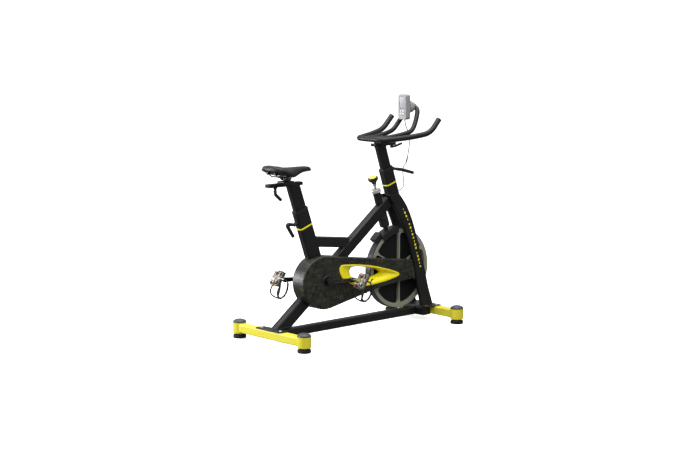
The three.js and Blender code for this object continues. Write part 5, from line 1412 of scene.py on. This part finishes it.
for sy, nm in ((-1, "right"), (1, "left")):
    windows = [rounded_sector(48, 205, 90 + 60 * k, 150 + 60 * k, 4.6, 26, 12) for k in range(6)]
    g = Geo()
    g.plate(arc2(HUB.x, HUB.z, 229, 0, 357.5, 143), windows + [arc2(HUB.x, HUB.z, 16, 0, 352.5, 47)], sy * 22.4, sy * 3.5, 1.6, n=3)
    make(f"flywheel_face_{nm}", g, M["face"], "flywheel", ["flywheel"] if sy < 0 else ())
    g = Geo()
    g.plate(arc2(HUB.x, HUB.z, 224, 0, 357.5, 143), [arc2(HUB.x, HUB.z, 16, 0, 352.5, 47)], sy * 4.6, sy * 0.5, 0.4, n=1)
    make(f"flywheel_web_{nm}", g, M["web"], "flywheel", weighted=False)
g = Geo()
rim = [(226, -22.2), (229.4, -22.2), (230.9, -21.4), (231.6, -20), (FLY_R, -18.4), (FLY_R, -7.4), (231.3, -6.7), (231.3, -5.9), (FLY_R, -5.2), (FLY_R, 5.2), (231.3, 5.9), (231.3, 6.7), (FLY_R, 7.4), (FLY_R, 18.4), (231.6, 20), (230.9, 21.4), (229.4, 22.2), (226, 22.2)]
g.lathe(rim, HUB, -Y, 200, loop=True)
make("flywheel_rim", g, M["rim"], "flywheel", weighted=False, sharp=30)
g = Geo()
g.lathe([(8.6, -30), (15, -30), (16, -29), (16, -23), (26, -22.9), (40, -22.9), (42, -21.5), (45, -4), (45, 4), (42, 21.5), (40, 22.9), (26, 22.9), (16, 23), (16, 34.7), (15, 35.7), (8.6, 35.7)], HUB, -Y, 96, loop=True)
for k in range(6):
    for sy in (-1, 1):
        a_ = math.radians(60 * k + 30)
        g.dome_bolt((HUB.x + 32 * math.cos(a_), sy * 22.6, HUB.z + 32 * math.sin(a_)), Y * sy, 4.6, 3, 2)
make("flywheel_hub", g, M["rim"], "flywheel", weighted=False)

# spindle ends with their nuts
g = Geo()
g.lathe([(0, -64), (7.4, -64), (8, -63.4), (8, 70.4), (7.4, 71), (0, 71)], HUB, Y, 36)
for y0, y1 in ((-64, -57.3), (57.3, 66)):
    g.rings([[Vector((HUB.x + 13.6 * k * math.cos(math.pi * j / 3), y, HUB.z + 13.6 * k * math.sin(math.pi * j / 3))) for j in range(6)] for k, y in ((0.92, y0), (1, y0 + 0.9), (1, y1 - 0.9), (0.92, y1))])
make("flywheel_spindle_turned", g, M["steel"], "frame", ["flywheel_spindle"])
for n_, m_ in (("bottom_bracket_shell", "paint"), ("drive_belt", "belt"), ("crank_spindle", "steel"), ("crank_pulley", "plastic"), ("flywheel_pulley", "steel")):
    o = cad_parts[n_]
    o.data.materials.clear()
    o.data.materials.append(M[m_])

# ------------------------------------------------------------------ resistance: guide, rod, knob, magnet housing and caliper
g = Geo()
g.lathe([(6.8, -66), (22.5, -66), (22.5, 2), (22.0, 3.2), (6.8, 3.2)], ROD_AT, UH, 64, loop=True)
make("resistance_guide_tube", g, M["paint"], "frame", ["resistance_guide"])
g = Geo()
g.lathe([(6.8, 3.4), (25, 3.4), (26.6, 4), (27, 5), (27, 8), (26, 8.8), (26, 9.6), (27, 10.4), (27, 13.4), (26, 14.2), (26, 15), (27, 15.8), (27, 19.6), (25.8, 21.4), (23, 22), (12, 22), (11, 20), (6.8, 20)], ROD_AT, UH, 80, loop=True)
make("resistance_guide_collar", g, M["alloy"], "frame", weighted=False)
g = Geo()
g.lathe([(0, -158), (5, -158), (5.5, -157), (5.5, 43.6), (10.4, 43.8), (11, 44.6), (11, 55.2), (10.4, 56), (5.5, 56), (5.5, 77), (0, 78)], ROD_AT, UH, 40)
make("brake_rod_turned", g, M["steel"], "brake_rod", ["brake_rod"], weighted=False)
g = Geo()
lobes = lambda a, r, h: (r * (1 - 0.045 * (0.5 + 0.5 * math.cos(8 * a)) ** 2 * (1 if 68 < h < 95 and r > 15 else 0)), h)
g.lathe([(0, 57.3), (11.6, 57.3), (12.8, 58), (13, 59), (13.4, 61), (15, 64.8), (18, 68.5), (22, 72), (26, 76), (28.6, 79.6), (30, 84), (30, 87.4), (29.2, 91), (27.2, 94), (25, 95.6), (23.6, 95.9), (22.8, 95.4), (22.4, 94.6), (0, 94.4)], ROD_AT, UH, 128, shape=lobes)
make("resistance_knob_grip", g, M["plastic"], "resistance_knob", ["resistance_knob"], weighted=False)
g = Geo()
g.lathe([(0, 94.2), (21.8, 94.2), (22.0, 95), (21.4, 95.7), (19, 96), (8, 95.9), (7.4, 95.5), (6.6, 95.9), (0, 96)], ROD_AT, UH, 96)
make("resistance_knob_disc", g, M["trim"], "resistance_knob", weighted=False)

g = Geo()
g.lathe([(6.8, -207), (27.6, -207), (29, -205.6), (29, -150), (28, -149), (28, -146), (29, -145), (29, -128), (6.8, -128)], ROD_AT, UH, 72, loop=True)
cut_ = Geo()
cut_.bar(along(ROD_AT, UH, -262), along(ROD_AT, UH, -171), 19.4, 47, 3, 3)
housing = make("magnet_housing_shell", g, M["plastic"], "frame", ["magnet_housing"], finish=False)
boolean(housing, [scratch(cut_, M["plastic"])])
shade(housing, 40)
g = Geo()
chan = lambda r0, r1, a0, a1, n: arc2(HUB.x, HUB.z, r1, a0, a1, n) + arc2(HUB.x, HUB.z, r0, a1, a0, n)
g.plate(round_corners2([(HUB.x + r * math.cos(math.radians(a)), HUB.z + r * math.sin(math.radians(a))) for r, a in ((243, 93), (243, 104.5), (243, 116), (243, 127), (240, 127), (240, 116), (240, 104.5), (240, 93))], 0.6, 2), [], 30.9, -30.9, 0.8, n=2, back_r=0.8)
for sy in (-1, 1):
    g.plate(chan(208, 246, 93, 127, 30), [], sy * 31, sy * 27, 1.4, n=3)
g.plate(chan(240, 246, 93, 127, 30), [], 30, -30, 0.5, n=2)
g.plate(chan(240, 268, 124, 137, 14), [], 24, -24, 2.5, n=4, back_r=2.5)
g.bar(along(ROD_AT, UH, -238), along(ROD_AT, UH, -188), 17, 24, 4, 5, end=1.5)
for sy in (-1, 1):
    for a_ in (99, 110, 121):
        g.dome_bolt((HUB.x + 226 * math.cos(math.radians(a_)), sy * 30.6, HUB.z + 226 * math.sin(math.radians(a_))), Y * sy, 4.4, 0.4 + 2.0, 1.8)
make("magnet_caliper_yoke", g, M["plastic"], "magnet_caliper", ["magnet_caliper"])

# ------------------------------------------------------------------ seat post, rail, carriage, levers
def flat_cut(obj, z, above=True):
    """Cuts everything above z off a piece."""
    g = Geo()
    g.box((-900, -200, z), (900, 200, z + 400), 2, "z", 0.01, 1)
    boolean(obj, [scratch(g, obj.data.materials[0])])
    return obj


g = Geo()
g.bar(along(SEAT_TOP, US, -205), along(SEAT_TOP, US, 175), SEAT_POST[0], SEAT_POST[1], 7.5, 6, end=1.5)
post = make("seat_post_tube", g, M["post"], "seat_post", ["seat_post"], finish=False)
flat_cut(post, 861.5)
shade(post)
# adjustment holes down the back edge, as dark inserts
g = Geo()
for k in range(7):
    p = along(along(SEAT_TOP, US, 6 + 22 * k), SEAT_BACK, SEAT_POST[1] / 2 - 0.4)
    g.lathe([(0, 0), (4.6, 0), (4.8, 0.1), (4.6, 0.5), (0, 0.5)], p, SEAT_BACK, 24)
make("seat_post_holes", g, M["rubber"], "seat_post", weighted=False)
# two stacked plates with their end stops
g = Geo()
g.box((-609, -21, 861.8), (-370, 21, 868.4), 5, "z", 0.8, 6)
g.box((-606, -15, 868.0), (-373, 15, 873.0), 3, "z", 0.3, 4)
g.box((-609, -21, 872.6), (-370, 21, 879.8), 5, "z", 0.9, 6)
for x0 in (-608.6, -375):
    g.box((x0, -19, 868), (x0 + 5, 19, 873), 1.5, "z", 0.3, 3)
rail = make("seat_rail_plates", g, M["rubber"], "seat_post", ["seat_rail"])
# carriage: saddle clamp block, column, and clamp head
g = Geo()
g.box((-516, -27, 868.2), (-440, -21.4, 889), 2, "y", 1.2, 5)
g.box((-516, 21.4, 868.2), (-440, 27, 889), 2, "y", 1.2, 5)
g.box((-516, -27, 880.2), (-440, 27, 890), 6, "z", 2.2, 6)
g.lathe([(0, 888), (17.5, 888), (17.5, 889.6), (15.8, 891.2), (15, 893), (15, 905), (0, 905)], (-478, 0, 0), Z, 48)
make("seat_carriage_block", g, M["plastic"], "seat_carriage", ["seat_carriage"])
g = Geo()
g.lathe([(0, 0), (19, 0), (19.8, 0.8), (19.8, 17), (18.4, 18.6), (0, 18.6)], (-478, -11, 911.5), -Y, 44)
g.lathe([(0, 0), (19, 0), (19.8, 0.8), (19.8, 17), (18.4, 18.6), (0, 18.6)], (-478, 11, 911.5), Y, 44)
g.lathe([(0, -11.4), (16.5, -11.4), (16.5, 11.4), (0, 11.4)], (-478, 0, 911.5), Y, 44)
make("saddle_clamp_head", g, M["cap"], "seat_carriage")
g = Geo()
g.hexbolt((-478, -29.4, 911.5), -Y, 13, 9, 9)
g.hexbolt((-478, 29.4, 911.5), Y, 13, 9, 9)
make("saddle_clamp_nuts", g, M["steel"], "seat_carriage")
g = Geo()
for my in (1, -1):
    pts = [(-572, 31, 934), (-556, 25, 917), (-520, 22, 913.5), (-440, 22, 913.5), (-392, 14, 930), (-372, 7, 937), (-368, 0, 938)]
    if my == 1:
        pts_all = pts + [(x, -y, z) for x, y, z in reversed(pts[:-1])]
        g.tube(smooth_line(even(rounded(pts_all, 16, 8), 2.5), 3), 3.5, 16, step=3, end=0.3)
make("saddle_rails_bent", g, M["plastic"], "seat_carriage", ["saddle_rails"], weighted=False)


def ribbed(line, r, n_ribs, start, stop, depth=0.5, swell=1.0):
    """A lever grip's radius along its length: a swelling bar with shallow ribs."""
    def f(s, L):
        u = s / L
        base = r * (0.78 + 0.22 * min(1, u * 4)) * (1 + 0.05 * math.sin(math.pi * u))
        if start < u < stop:
            base -= depth * (0.5 + 0.5 * math.cos(2 * math.pi * n_ribs * (u - start) / (stop - start))) ** 3
        return base
    return f


# seat post lever
LS = along(along(SEAT_TOP, US, -64), SEAT_BACK, SEAT_TUBE[1] / 2)
g = Geo()
g.lathe([(0, 0.4), (13.4, 0.4), (14, 1), (14, 7), (13, 8), (10.6, 8.6), (10, 9.4), (10, 22), (9, 23), (0, 23)], LS, SEAT_BACK, 44)
hub = along(LS, SEAT_BACK, 15)
grip_line = [hub, Vector((-474, 0, 651)), Vector((-424, 0, 577))]
base_dir = (Vector((-474, 0, 651)) - hub)
line = even([hub] + rounded([hub + base_dir * 0.35, Vector((-474, 0, 651)), Vector((-424, 0, 577))], 26, 10), 1.0)
line = smooth_line(line, 10)
g.tube(line, ribbed(line, 9.8, 9, 0.52, 0.93, 0.8), 28, step=0.9, end=0.8)
make("seat_post_lever_grip", g, M["plastic"], "seat_post_lever", ["seat_post_lever"], sharp=60, weighted=False)
g = Geo()
g.dome_bolt(along(LS, SEAT_BACK, 22.6), SEAT_BACK, 6.5, 3, 2.6)
make("seat_post_lever_screw", g, M["steel"], "seat_post_lever", weighted=False)
# seat slide lever
g = Geo()
g.lathe([(0, 0.4), (11, 0.4), (11.6, 1), (11.6, 5), (8.4, 6), (8, 7), (8, 21), (9.6, 22), (9.6, 27), (8.4, 28.4), (0, 28.4)], (-553, 0, 861), -Z, 40)
line = smooth_line(even(rounded([(-553, 0, 838), (-552, 0, 822), (-510, 0, 786)], 14, 8), 1.0), 8)
g.tube(line, ribbed(line, 8.8, 7, 0.42, 0.92, 0.7), 26, step=0.9, end=0.8)
make("seat_slide_lever_grip", g, M["plastic"], "seat_slide_lever", ["seat_slide_lever"], sharp=60, weighted=False)

# ------------------------------------------------------------------ saddle
saddle_rows = [(-600, 30, 968, 958, 958), (-596, 58, 974, 955, 955), (-582, 78, 979, 949, 952), (-560, 88, 977, 939, 949), (-530, 89, 970, 927, 946), (-500, 80, 964, 918, 945), (-470, 62, 961, 914, 944), (-440, 45, 960.5, 915, 944), (-410, 33, 961, 922, 943), (-380, 26, 962, 930, 944), (-350, 23, 962.5, 934, 944), (-325, 21.5, 961.5, 935, 943), (-311, 18, 959, 936.5, 943), (-304, 12, 954.5, 939, 943)]
rows_f = []
for c in range(5):
    rows_f.append(catmull([Vector((r[0], r[c], 0)) for r in saddle_rows], 8))


def saddle_ring(i, shrink=0.0, under=None):
    x = rows_f[1][i].x
    hw, crown, edge, bot = (rows_f[c][i].y for c in (1, 2, 3, 4))
    hw = max(hw - shrink, 2)
    crown -= shrink
    top = []
    n = 30
    for k in range(n + 1):
        a = math.pi * k / n
        cx, sz = math.cos(a), math.sin(a)
        y = hw * math.copysign(abs(cx) ** 0.62, cx)
        z = edge + shrink * 0.4 + (crown - edge) * abs(sz) ** 0.62
        top.append(Vector((x, y, z)))
    low = []
    for k in range(1, 14):
        u = 1 - 2 * k / 14
        y = hw * 0.985 * u
        z = edge + shrink * 0.4 + (bot - edge) * (1 - abs(u) ** 3) if under is None else under
        low.append(Vector((x, -y, z)))
    return top + low


n_rows = len(rows_f[1])
g = Geo()
g.rings([saddle_ring(i, 1.6) for i in range(n_rows)])
saddle = make("saddle_padded_cover", g, M["leather"], "seat_carriage", ["saddle"], finish=False, doubles=0.01)
rem = saddle.modifiers.new("even", "REMESH")
rem.mode, rem.voxel_size = "VOXEL", 0.005
bake(saddle)
rest_pos = [v.co.copy() for v in saddle.data.vertices]
cl = saddle.modifiers.new("cloth", "CLOTH")
st = cl.settings
st.quality, st.mass, st.air_damping = 6, 0.3, 2
st.tension_stiffness = st.compression_stiffness = 60
st.shear_stiffness, st.bending_stiffness = 25, 4
st.tension_damping = st.compression_damping = st.shear_damping = 25
st.use_pressure, st.uniform_pressure_force = True, 4
st.effector_weights.gravity = 0
cl.collision_settings.use_collision = cl.collision_settings.use_self_collision = False
cl.point_cache.frame_start, cl.point_cache.frame_end = 1, 16
scene.frame_start, scene.frame_end = 1, 16
for f_ in range(1, 17):
    scene.frame_set(f_)
bake(saddle)
scene.frame_set(1)
for v, p in zip(saddle.data.vertices, rest_pos):
    d = v.co - p
    if d.length > 0.003:
        v.co = p + d.normalized() * 0.003
sm = saddle.modifiers.new("even out", "SMOOTH")
sm.factor, sm.iterations = 0.5, 4
sub = saddle.modifiers.new("fine", "SUBSURF")
sub.levels = sub.render_levels = 1
bake(saddle)


def crown_at(x):
    for a, b in zip(saddle_rows, saddle_rows[1:]):
        if a[0] <= x <= b[0]:
            t = (x - a[0]) / (b[0] - a[0])
            return a[2] * (1 - t) + b[2] * t, a[1] * (1 - t) + b[1] * t, a[3] * (1 - t) + b[3] * t
    return saddle_rows[-1][2], saddle_rows[-1][1], saddle_rows[-1][3]


for v in saddle.data.vertices:
    x, y, z = v.co * 1000
    cz, hw, ez = crown_at(min(max(x, -600), -304))
    if z > ez + (cz - ez) * 0.55:
        # shallow channel down the middle, widening at the back
        end_ = min(1, max(0, (x + 590) / 40)) * min(1, max(0, (-345 - x) / 50))
        half = 9 + 10 * max(0.0, min(1.0, (-430 - x) / 110))
        z -= 4.6 * end_ * math.exp(-((y / half) ** 2) * 1.6)
        # stitched lines either side of the sit-bone pads
        for yl in (hw * 0.58, -hw * 0.58):
            z -= 1.1 * math.exp(-(((y - yl) / 1.6) ** 2)) * min(1, max(0, (-400 - x) / 40)) * min(1, max(0, (x + 588) / 20))
    v.co = Vector((x, y, z)) * 0.001
shade(saddle, 70, False)
# the seam round the lower edge, and the moulded base under it
edge_r = [Vector((rows_f[1][i].x, rows_f[1][i].y * 0.995 + 0.2, rows_f[3][i].y + 2.2)) for i in range(1, n_rows - 1)]
edge_l = [Vector((p.x, -p.y, p.z)) for p in edge_r]
loop_ = edge_r + [Vector((-303.4, 3, 947)), Vector((-303.4, -3, 947))] + list(reversed(edge_l)) + [Vector((-601, -12, 954)), Vector((-601, 12, 954)), edge_r[0]]
loop_ = smooth_line(even(loop_, 2.5), 2)
g = Geo()
g.tube(loop_, 1.5, 10, step=2.4, end=0.3)
make("saddle_edge_seam", g, M["rubber"], "seat_carriage", weighted=False)
g = Geo()
rows_ = []
for i in range(0, n_rows, 2):
    x, hw, edge, bot = rows_f[1][i].x, rows_f[1][i].y, rows_f[3][i].y, rows_f[4][i].y
    hw = max(hw - 3, 1.5)
    ring = []
    for k in range(17):
        u = 1 - 2 * k / 16
        ring.append(Vector((x, hw * u, edge - 1.0 + (bot - 1 - edge) * (1 - abs(u) ** 4) * 0.72)))
    for k in range(17):
        u = -1 + 2 * k / 16
        ring.append(Vector((x, hw * u, edge + 4.4 + (bot + 1 - edge) * (1 - abs(u) ** 4) * 0.72)))
    rows_.append(ring)
g.rings(rows_)
make("saddle_moulded_base", g, M["plastic"], "seat_carriage", sharp=50)
# lugs under the base that take the rails
g = Geo()
for y in (-31, 31):
    g.box((-584, y - 8, 929), (-562, y + 8, 945), 4, "z", 1.2, 5)
g.box((-382, -13, 931), (-362, 13, 948), 5, "z", 1.2, 5)
make("saddle_rail_lugs", g, M["plastic"], "seat_carriage")

# ------------------------------------------------------------------ bar post, carriage, levers
g = Geo()
g.bar(along(HEAD_TOP, UH, -165), along(HEAD_TOP, UH, 170), BAR_POST[0], BAR_POST[1], 7.5, 6, end=1.5)
post = make("bar_post_tube", g, M["post"], "bar_post", ["bar_post"], finish=False)
flat_cut(post, 1038)
shade(post)
g = Geo()
g.box((172, -20, 1036.2), (338, 20, 1050), 5, "z", 1.6, 6)
for x0 in (172.0, 334):
    g.box((x0, -18, 1038), (x0 + 4, 18, 1052.4), 1.2, "z", 0.6, 3)
make("bar_post_rail", g, M["paint"], "bar_post")
g = Geo()
tops = [(x, y) for x, y in rrect(BAR_POST[0] + 2, BAR_POST[1], 7.5, 6)]
g.rings([[Vector((227.6 + HEAD_TOP.x * 0 + b * 1.06 + off, a * k, z)) for a, b in tops] for k, z, off in ((1.03, 1027, 4.4), (1.12, 1031, 3), (1.24, 1036.4, 1.2))])
make("bar_post_weld", g, M["weld"], "bar_post", sharp=70)
g = Geo()
for k in range(6):
    p = along(along(HEAD_TOP, UH, 8 + 20 * k), HEAD_FWD, BAR_POST[1] / 2 - 0.4)
    g.lathe([(0, 0), (4.6, 0), (4.8, 0.1), (4.6, 0.5), (0, 0.5)], p, HEAD_FWD, 24)
make("bar_post_holes", g, M["rubber"], "bar_post", weighted=False)
g = Geo()
g.box((206, -27, 1040.4), (286, -20.8, 1062), 2, "y", 1.2, 5)
g.box((206, 20.8, 1040.4), (286, 27, 1062), 2, "y", 1.2, 5)
g.box((206, -27, 1052.6), (286, 27, 1064), 6, "z", 2.0, 6)
make("bar_carriage_slide", g, M["plastic"], "bar_carriage", ["bar_carriage"])

LB = along(along(HEAD_TOP, UH, -26), HEAD_FWD, HEAD_TUBE[1] / 2)
g = Geo()
g.lathe([(0, 0.4), (12.8, 0.4), (13.4, 1), (13.4, 7), (12.4, 8), (10, 8.6), (9.4, 9.4), (9.4, 22), (8.4, 23), (0, 23)], LB, HEAD_FWD, 44)
hub = along(LB, HEAD_FWD, 15)
knee = Vector((404, 0, 887))
line = smooth_line(even(rounded([hub, hub.lerp(knee, 0.4), knee, Vector((497, 0, 862))], 24, 10), 1.0), 10)
g.tube(line, ribbed(line, 9.2, 9, 0.48, 0.93, 0.8), 28, step=0.9, end=0.8)
make("bar_post_lever_grip", g, M["plastic"], "bar_post_lever", ["bar_post_lever"], sharp=60, weighted=False)
g = Geo()
g.dome_bolt(along(LB, HEAD_FWD, 22.6), HEAD_FWD, 6.2, 3, 2.6)
make("bar_post_lever_screw", g, M["steel"], "bar_post_lever", weighted=False)
g = Geo()
g.lathe([(0, 0.4), (9.6, 0.4), (10.2, 1), (10.2, 4), (7, 5), (6.6, 6), (6.6, 10), (8, 11), (8, 15), (7, 16.4), (0, 16.4)], (318, 0, 1035.6), -Z, 40)
line = smooth_line(even(rounded([(318, 0, 1025), (345, 0, 1026), (402, 0, 1040)], 12, 8), 1.0), 8)
g.tube(line, ribbed(line, 6.4, 7, 0.4, 0.92, 0.5), 26, step=0.9, end=0.8)
make("bar_slide_lever_grip", g, M["plastic"], "bar_slide_lever", ["bar_slide_lever"], sharp=60, weighted=False)

# ------------------------------------------------------------------ handlebar: tubes run into one another
outer = [(508, -192, 1182), (438, -194, 1108), (322, -160, 1090), (215, -126, 1081), (158, -100, 1079), (148, -70, 1079)]
outer = outer + [(x, -y, z) for x, y, z in reversed(outer)]
inner = [(150, 42, 1080), (240, 46, 1083), (335, 64, 1096), (408, 76, 1112), (448, 66, 1165), (482, 48, 1225), (492, 24, 1243)]
inner = inner + [(x, -y, z) for x, y, z in reversed(inner)]
out_line = smooth_line(even(rounded(outer, 46, 12), 3), 10)
in_line = smooth_line(even(rounded(inner, 40, 12), 3), 8)
g = Geo()
g.tube(out_line, 15.9, 32, step=4, end=0.12)
g.tube(in_line, 13.9, 30, step=4, end=0.12)
g.box((200, -46, 1064.3), (292, 46, 1086), 12, "z", 4.0, 8)
bars = make("handlebar_dipped", g, M["grip"], "bar_carriage", ["handlebar"], finish=False)
rem = bars.modifiers.new("even", "REMESH")
rem.mode, rem.voxel_size = "VOXEL", 0.0026
bake(bars)
sm = bars.modifiers.new("blend", "SMOOTH")
sm.factor, sm.iterations = 0.5, 9
bake(bars)
shade(bars, 80, False)
g = Geo()
for s in (0, 1):
    p = out_line[0] if s == 0 else out_line[-1]
    d = (out_line[0] - out_line[3]).normalized() if s == 0 else (out_line[-1] - out_line[-4]).normalized()
    g.lathe([(0, -3), (15.6, -3), (16.4, -2), (16.4, 1.2), (15.4, 2.6), (12, 3.4), (0, 3.8)], along(p, d, -1.2), d, 40)
make("handlebar_end_plugs", g, M["plastic"], "bar_carriage", weighted=False)
g = Geo()
for x in (216, 276):
    for y in (-35, 35):
        g.dome_bolt((x, y, 1084.6), Z, 6.4, 4.4, 2.8)
make("handlebar_clamp_bolts", g, M["gloss"], "bar_carriage", weighted=False)

# ------------------------------------------------------------------ console
FACE = lambda a, b, d: Vector((d, -a, b))   # a to the rider's left-right, b up, d depth along X
g = Geo()
outline = [(a, 1248 + b) for a, b in rrect(64, 144, 12, 10)]
screen_hole = [(a, 1274.5 + b) for a, b in rrect(46, 63, 4, 6)]
key_hole = [(a, 1217 + b) for a, b in rrect(38, 38, 4, 6)]
g.plate(outline, [screen_hole, key_hole], 402, 440, 3.2, n=5, back_r=5.0, place=FACE)
make("console_shell", g, M["console"], "bar_carriage", ["console"], sharp=40)
g = Geo()
g.plate(inset(screen_hole, -1), [], 403.4, 410, 0.3, n=1, place=FACE)
make("console_screen_panel", g, M["screen"], "bar_carriage")
g = Geo()
g.plate([(a, 1217 + b) for a, b in rrect(39, 39, 4, 6)], [], 403.2, 410, 0.3, n=1, place=FACE)
make("console_key_panel", g, M["panel"], "bar_carriage")
# bezel round the screen, a parting line round the side, an indicator dot
g = Geo()
g.plate([(a, 1274.5 + b) for a, b in rrect(50, 67, 6, 6)], [[(a, 1274.5 + b) for a, b in rrect(45, 62, 4, 6)]], 401.3, 402.6, 0.5, n=3, place=FACE)
make("console_bezel", g, M["panel"], "bar_carriage")
g = Geo()
rows_ = []
for dx, k in ((419, 0.05), (419.4, 0.45), (421.6, 0.45), (422, 0.05)):
    rows_.append([FACE(a, b, dx) for a, b in inset(outline, -k)])
g.rings(rows_, False, False)
make("console_parting_band", g, M["panel"], "bar_carriage", weighted=False)
g = Geo()
g.lathe([(0, -0.6), (2.6, -0.6), (2.6, 0.2), (2, 0.7), (0, 0.9)], (402, 26, 1313), -X, 28)
make("console_dot", g, M["key"], "bar_carriage", weighted=False)
# generic seven-segment strokes behind the glass
g = Geo()
def seg(cx, cz, w, h, on):
    t = w * 0.16
    bars_ = {"a": (cx - w / 2 + t, cz + h / 2 - t / 2, cx + w / 2 - t, cz + h / 2 + t / 2), "g": (cx - w / 2 + t, cz - t / 2, cx + w / 2 - t, cz + t / 2), "d": (cx - w / 2 + t, cz - h / 2 - t / 2, cx + w / 2 - t, cz - h / 2 + t / 2),
             "f": (cx - w / 2, cz + t * 0.6, cx - w / 2 + t, cz + h / 2 - t * 0.4), "b": (cx + w / 2 - t, cz + t * 0.6, cx + w / 2, cz + h / 2 - t * 0.4), "e": (cx - w / 2, cz - h / 2 + t * 0.4, cx - w / 2 + t, cz - t * 0.6), "c": (cx + w / 2 - t, cz - h / 2 + t * 0.4, cx + w / 2, cz - t * 0.6)}
    for s_ in on:
        a0, b0, a1, b1 = bars_[s_]
        g.plate([(a0, b0), (a1, b0), (a1, b1), (a0, b1)], [], 403.15, 403.38, 0.02, n=1, place=FACE)
for k in range(4):
    seg(-13.5 + 9 * k, 1288, 6, 12, "abcdef")
for k in range(4):
    seg(-13.5 + 9 * k, 1266, 5, 9, "abcdef")
for z_ in (1277, 1255):
    g.plate([(-19, z_ - 0.3), (19, z_ - 0.3), (19, z_ + 0.3), (-19, z_ + 0.3)], [], 403.15, 403.38, 0.02, n=1, place=FACE)
make("console_display_strokes", g, M["segment"], "bar_carriage", weighted=False)
for k, (y, z_) in enumerate(((-10, 1226), (10, 1226), (-10, 1208), (10, 1208))):
    node = f"console_key_{k + 1}"
    lo_, hi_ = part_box(node)
    cy, cz = (lo_[1] + hi_[1]) * 500, (lo_[2] + hi_[2]) * 500
    g = Geo()
    g.plate([(a - cy, cz + b) for a, b in rrect(10.4, 10.4, 2.6, 6)], [], lo_[0] * 1000, hi_[0] * 1000, 1.1, n=5, place=FACE)
    make(f"{node}_cap", g, M["key"], node, [node])
# mount: ribbed dome behind, with two thin rings round it
g = Geo()
prof = [(0, 0), (31, 0), (31, 8), (27, 30), (20, 50), (18, 64), (0, 68)]
prof_f = [(36.8, 0.2), (37.6, 2), (37.4, 9), (36, 18), (32.6, 31), (27.4, 42), (22.4, 51), (19.6, 58), (18, 63), (16, 66.4), (12, 67.8)]
pf = catmull([Vector((r, h, 0)) for r, h in prof_f], 6)
ribs = lambda a, r, h: (r - (1.0 * (0.5 + 0.5 * math.cos(36 * a)) ** 2 if 10 < h < 56 else 0), h)
g.lathe([(0, 0.2)] + [(p.x, p.y) for p in pf] + [(0, 68)], (440.3, 0, 1247), X, 216, shape=ribs)
dome = make("console_mount_dome", g, M["console"], "bar_carriage", ["console_mount"], sharp=60, weighted=False, finish=False)
shade(dome, 60, False)
g = Geo()
for x_ in (446, 449.5):
    g.lathe([(37.2, -0.9), (38.2, -0.5), (38.2, 0.5), (37.2, 0.9), (36, 0.9), (36, -0.9)], (x_, 0, 1247), X, 96, loop=True)
make("console_mount_rings", g, M["console"], "bar_carriage", weighted=False)

# ------------------------------------------------------------------ the console lead
MM = 0.001
lead_up = [(433, 8, 1175.4), (436, 9, 1160), (448, 12, 1132), (466, 14, 1100), (478, 15, 1055), (476, 15, 1015), (468, 15, 975), (460, 15, 945)]
lead_dn = [(459.8, 15, 944.2), (450, 15, 922), (434, 15, 903), (427, 15, 884), (428, 15, 850), (431, 13, 815), (424, 8, 790), (404, 3, 776), (382, 0, 770), (366, 0, 768)]
up_line = even(catmull([Vector(p) for p in lead_up], 14), 8)
dn_line = even(catmull([Vector(p) for p in lead_dn], 14), 8)
for nm, line, node, a_, b_, cut in (("console_lead_cable", up_line, "console_lead", "bar_carriage", "bar_post", (1150, 990)), ("frame_lead_cable", dn_line, "frame_lead", "bar_post", "frame", (895, 800))):
    g = Geo()
    g.tube(line, 2.5, 20, step=2.2, end=0.1)
    lead = make(nm, g, M["lead"], None, [node], weighted=False)
    p0 = min(line, key=lambda q: abs(q.z - cut[0]))
    p1 = min(line, key=lambda q: abs(q.z - cut[1]))
    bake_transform(lead)
    if nm.startswith("console"):
        LEAD_A = (lead, line)
    else:
        LEAD_B = (lead, line)
d_ = Vector((-0.33, 0, -0.944)).normalized()
g = Geo()
g.lathe([(0, 0.2), (3.6, 0.2), (4.4, 1.2), (4.6, 3), (4.6, 9), (4.2, 9.6), (4.2, 10.6), (4.6, 11.2), (4.6, 18), (4.2, 20), (3.4, 21), (0, 21)], lead_dn[0], d_, 32)
plug = make("lead_socket_sleeve", g, M["lead"], "bar_post", weighted=False)
g = Geo()
g.lathe([(0, -0.2), (4.0, -0.2), (4.4, -1), (4.4, -6), (3.4, -11), (2.8, -15), (0, -15)], lead_up[-1], Vector((-0.31, 0, -0.95)).normalized() * 1, 28)
plug2 = make("lead_plug_sleeve", g, M["lead"], "bar_post", weighted=False)
g = Geo()
for i, r_ in ((0, 4.2), (3, 3.8), (6, 3.6)):
    g.lathe([(2.5, -1.2), (r_, -1.0), (r_, 1.0), (2.5, 1.2)], (433 + 0.2 * i, 8 + 0.1 * i, 1174.6 - i), -Z, 24, loop=True)
relief = make("console_lead_relief", g, M["lead"], "bar_carriage", weighted=False)
for (lead, line), far, wp in ((LEAD_A, "connector", [plug2, relief]), (LEAD_B, "object", [plug])):
    L_ = sum((b - a).length for a, b in zip(line, line[1:])) * MM
    [tuple(p * MM) for p in line]
    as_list(wp)

# ------------------------------------------------------------------ bounding boxes of the imported frame and of the whole scene
lo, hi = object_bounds()
{"cad_box": [list(cad_lo), list(cad_hi)], "visual_box": [list(lo), list(hi)]}
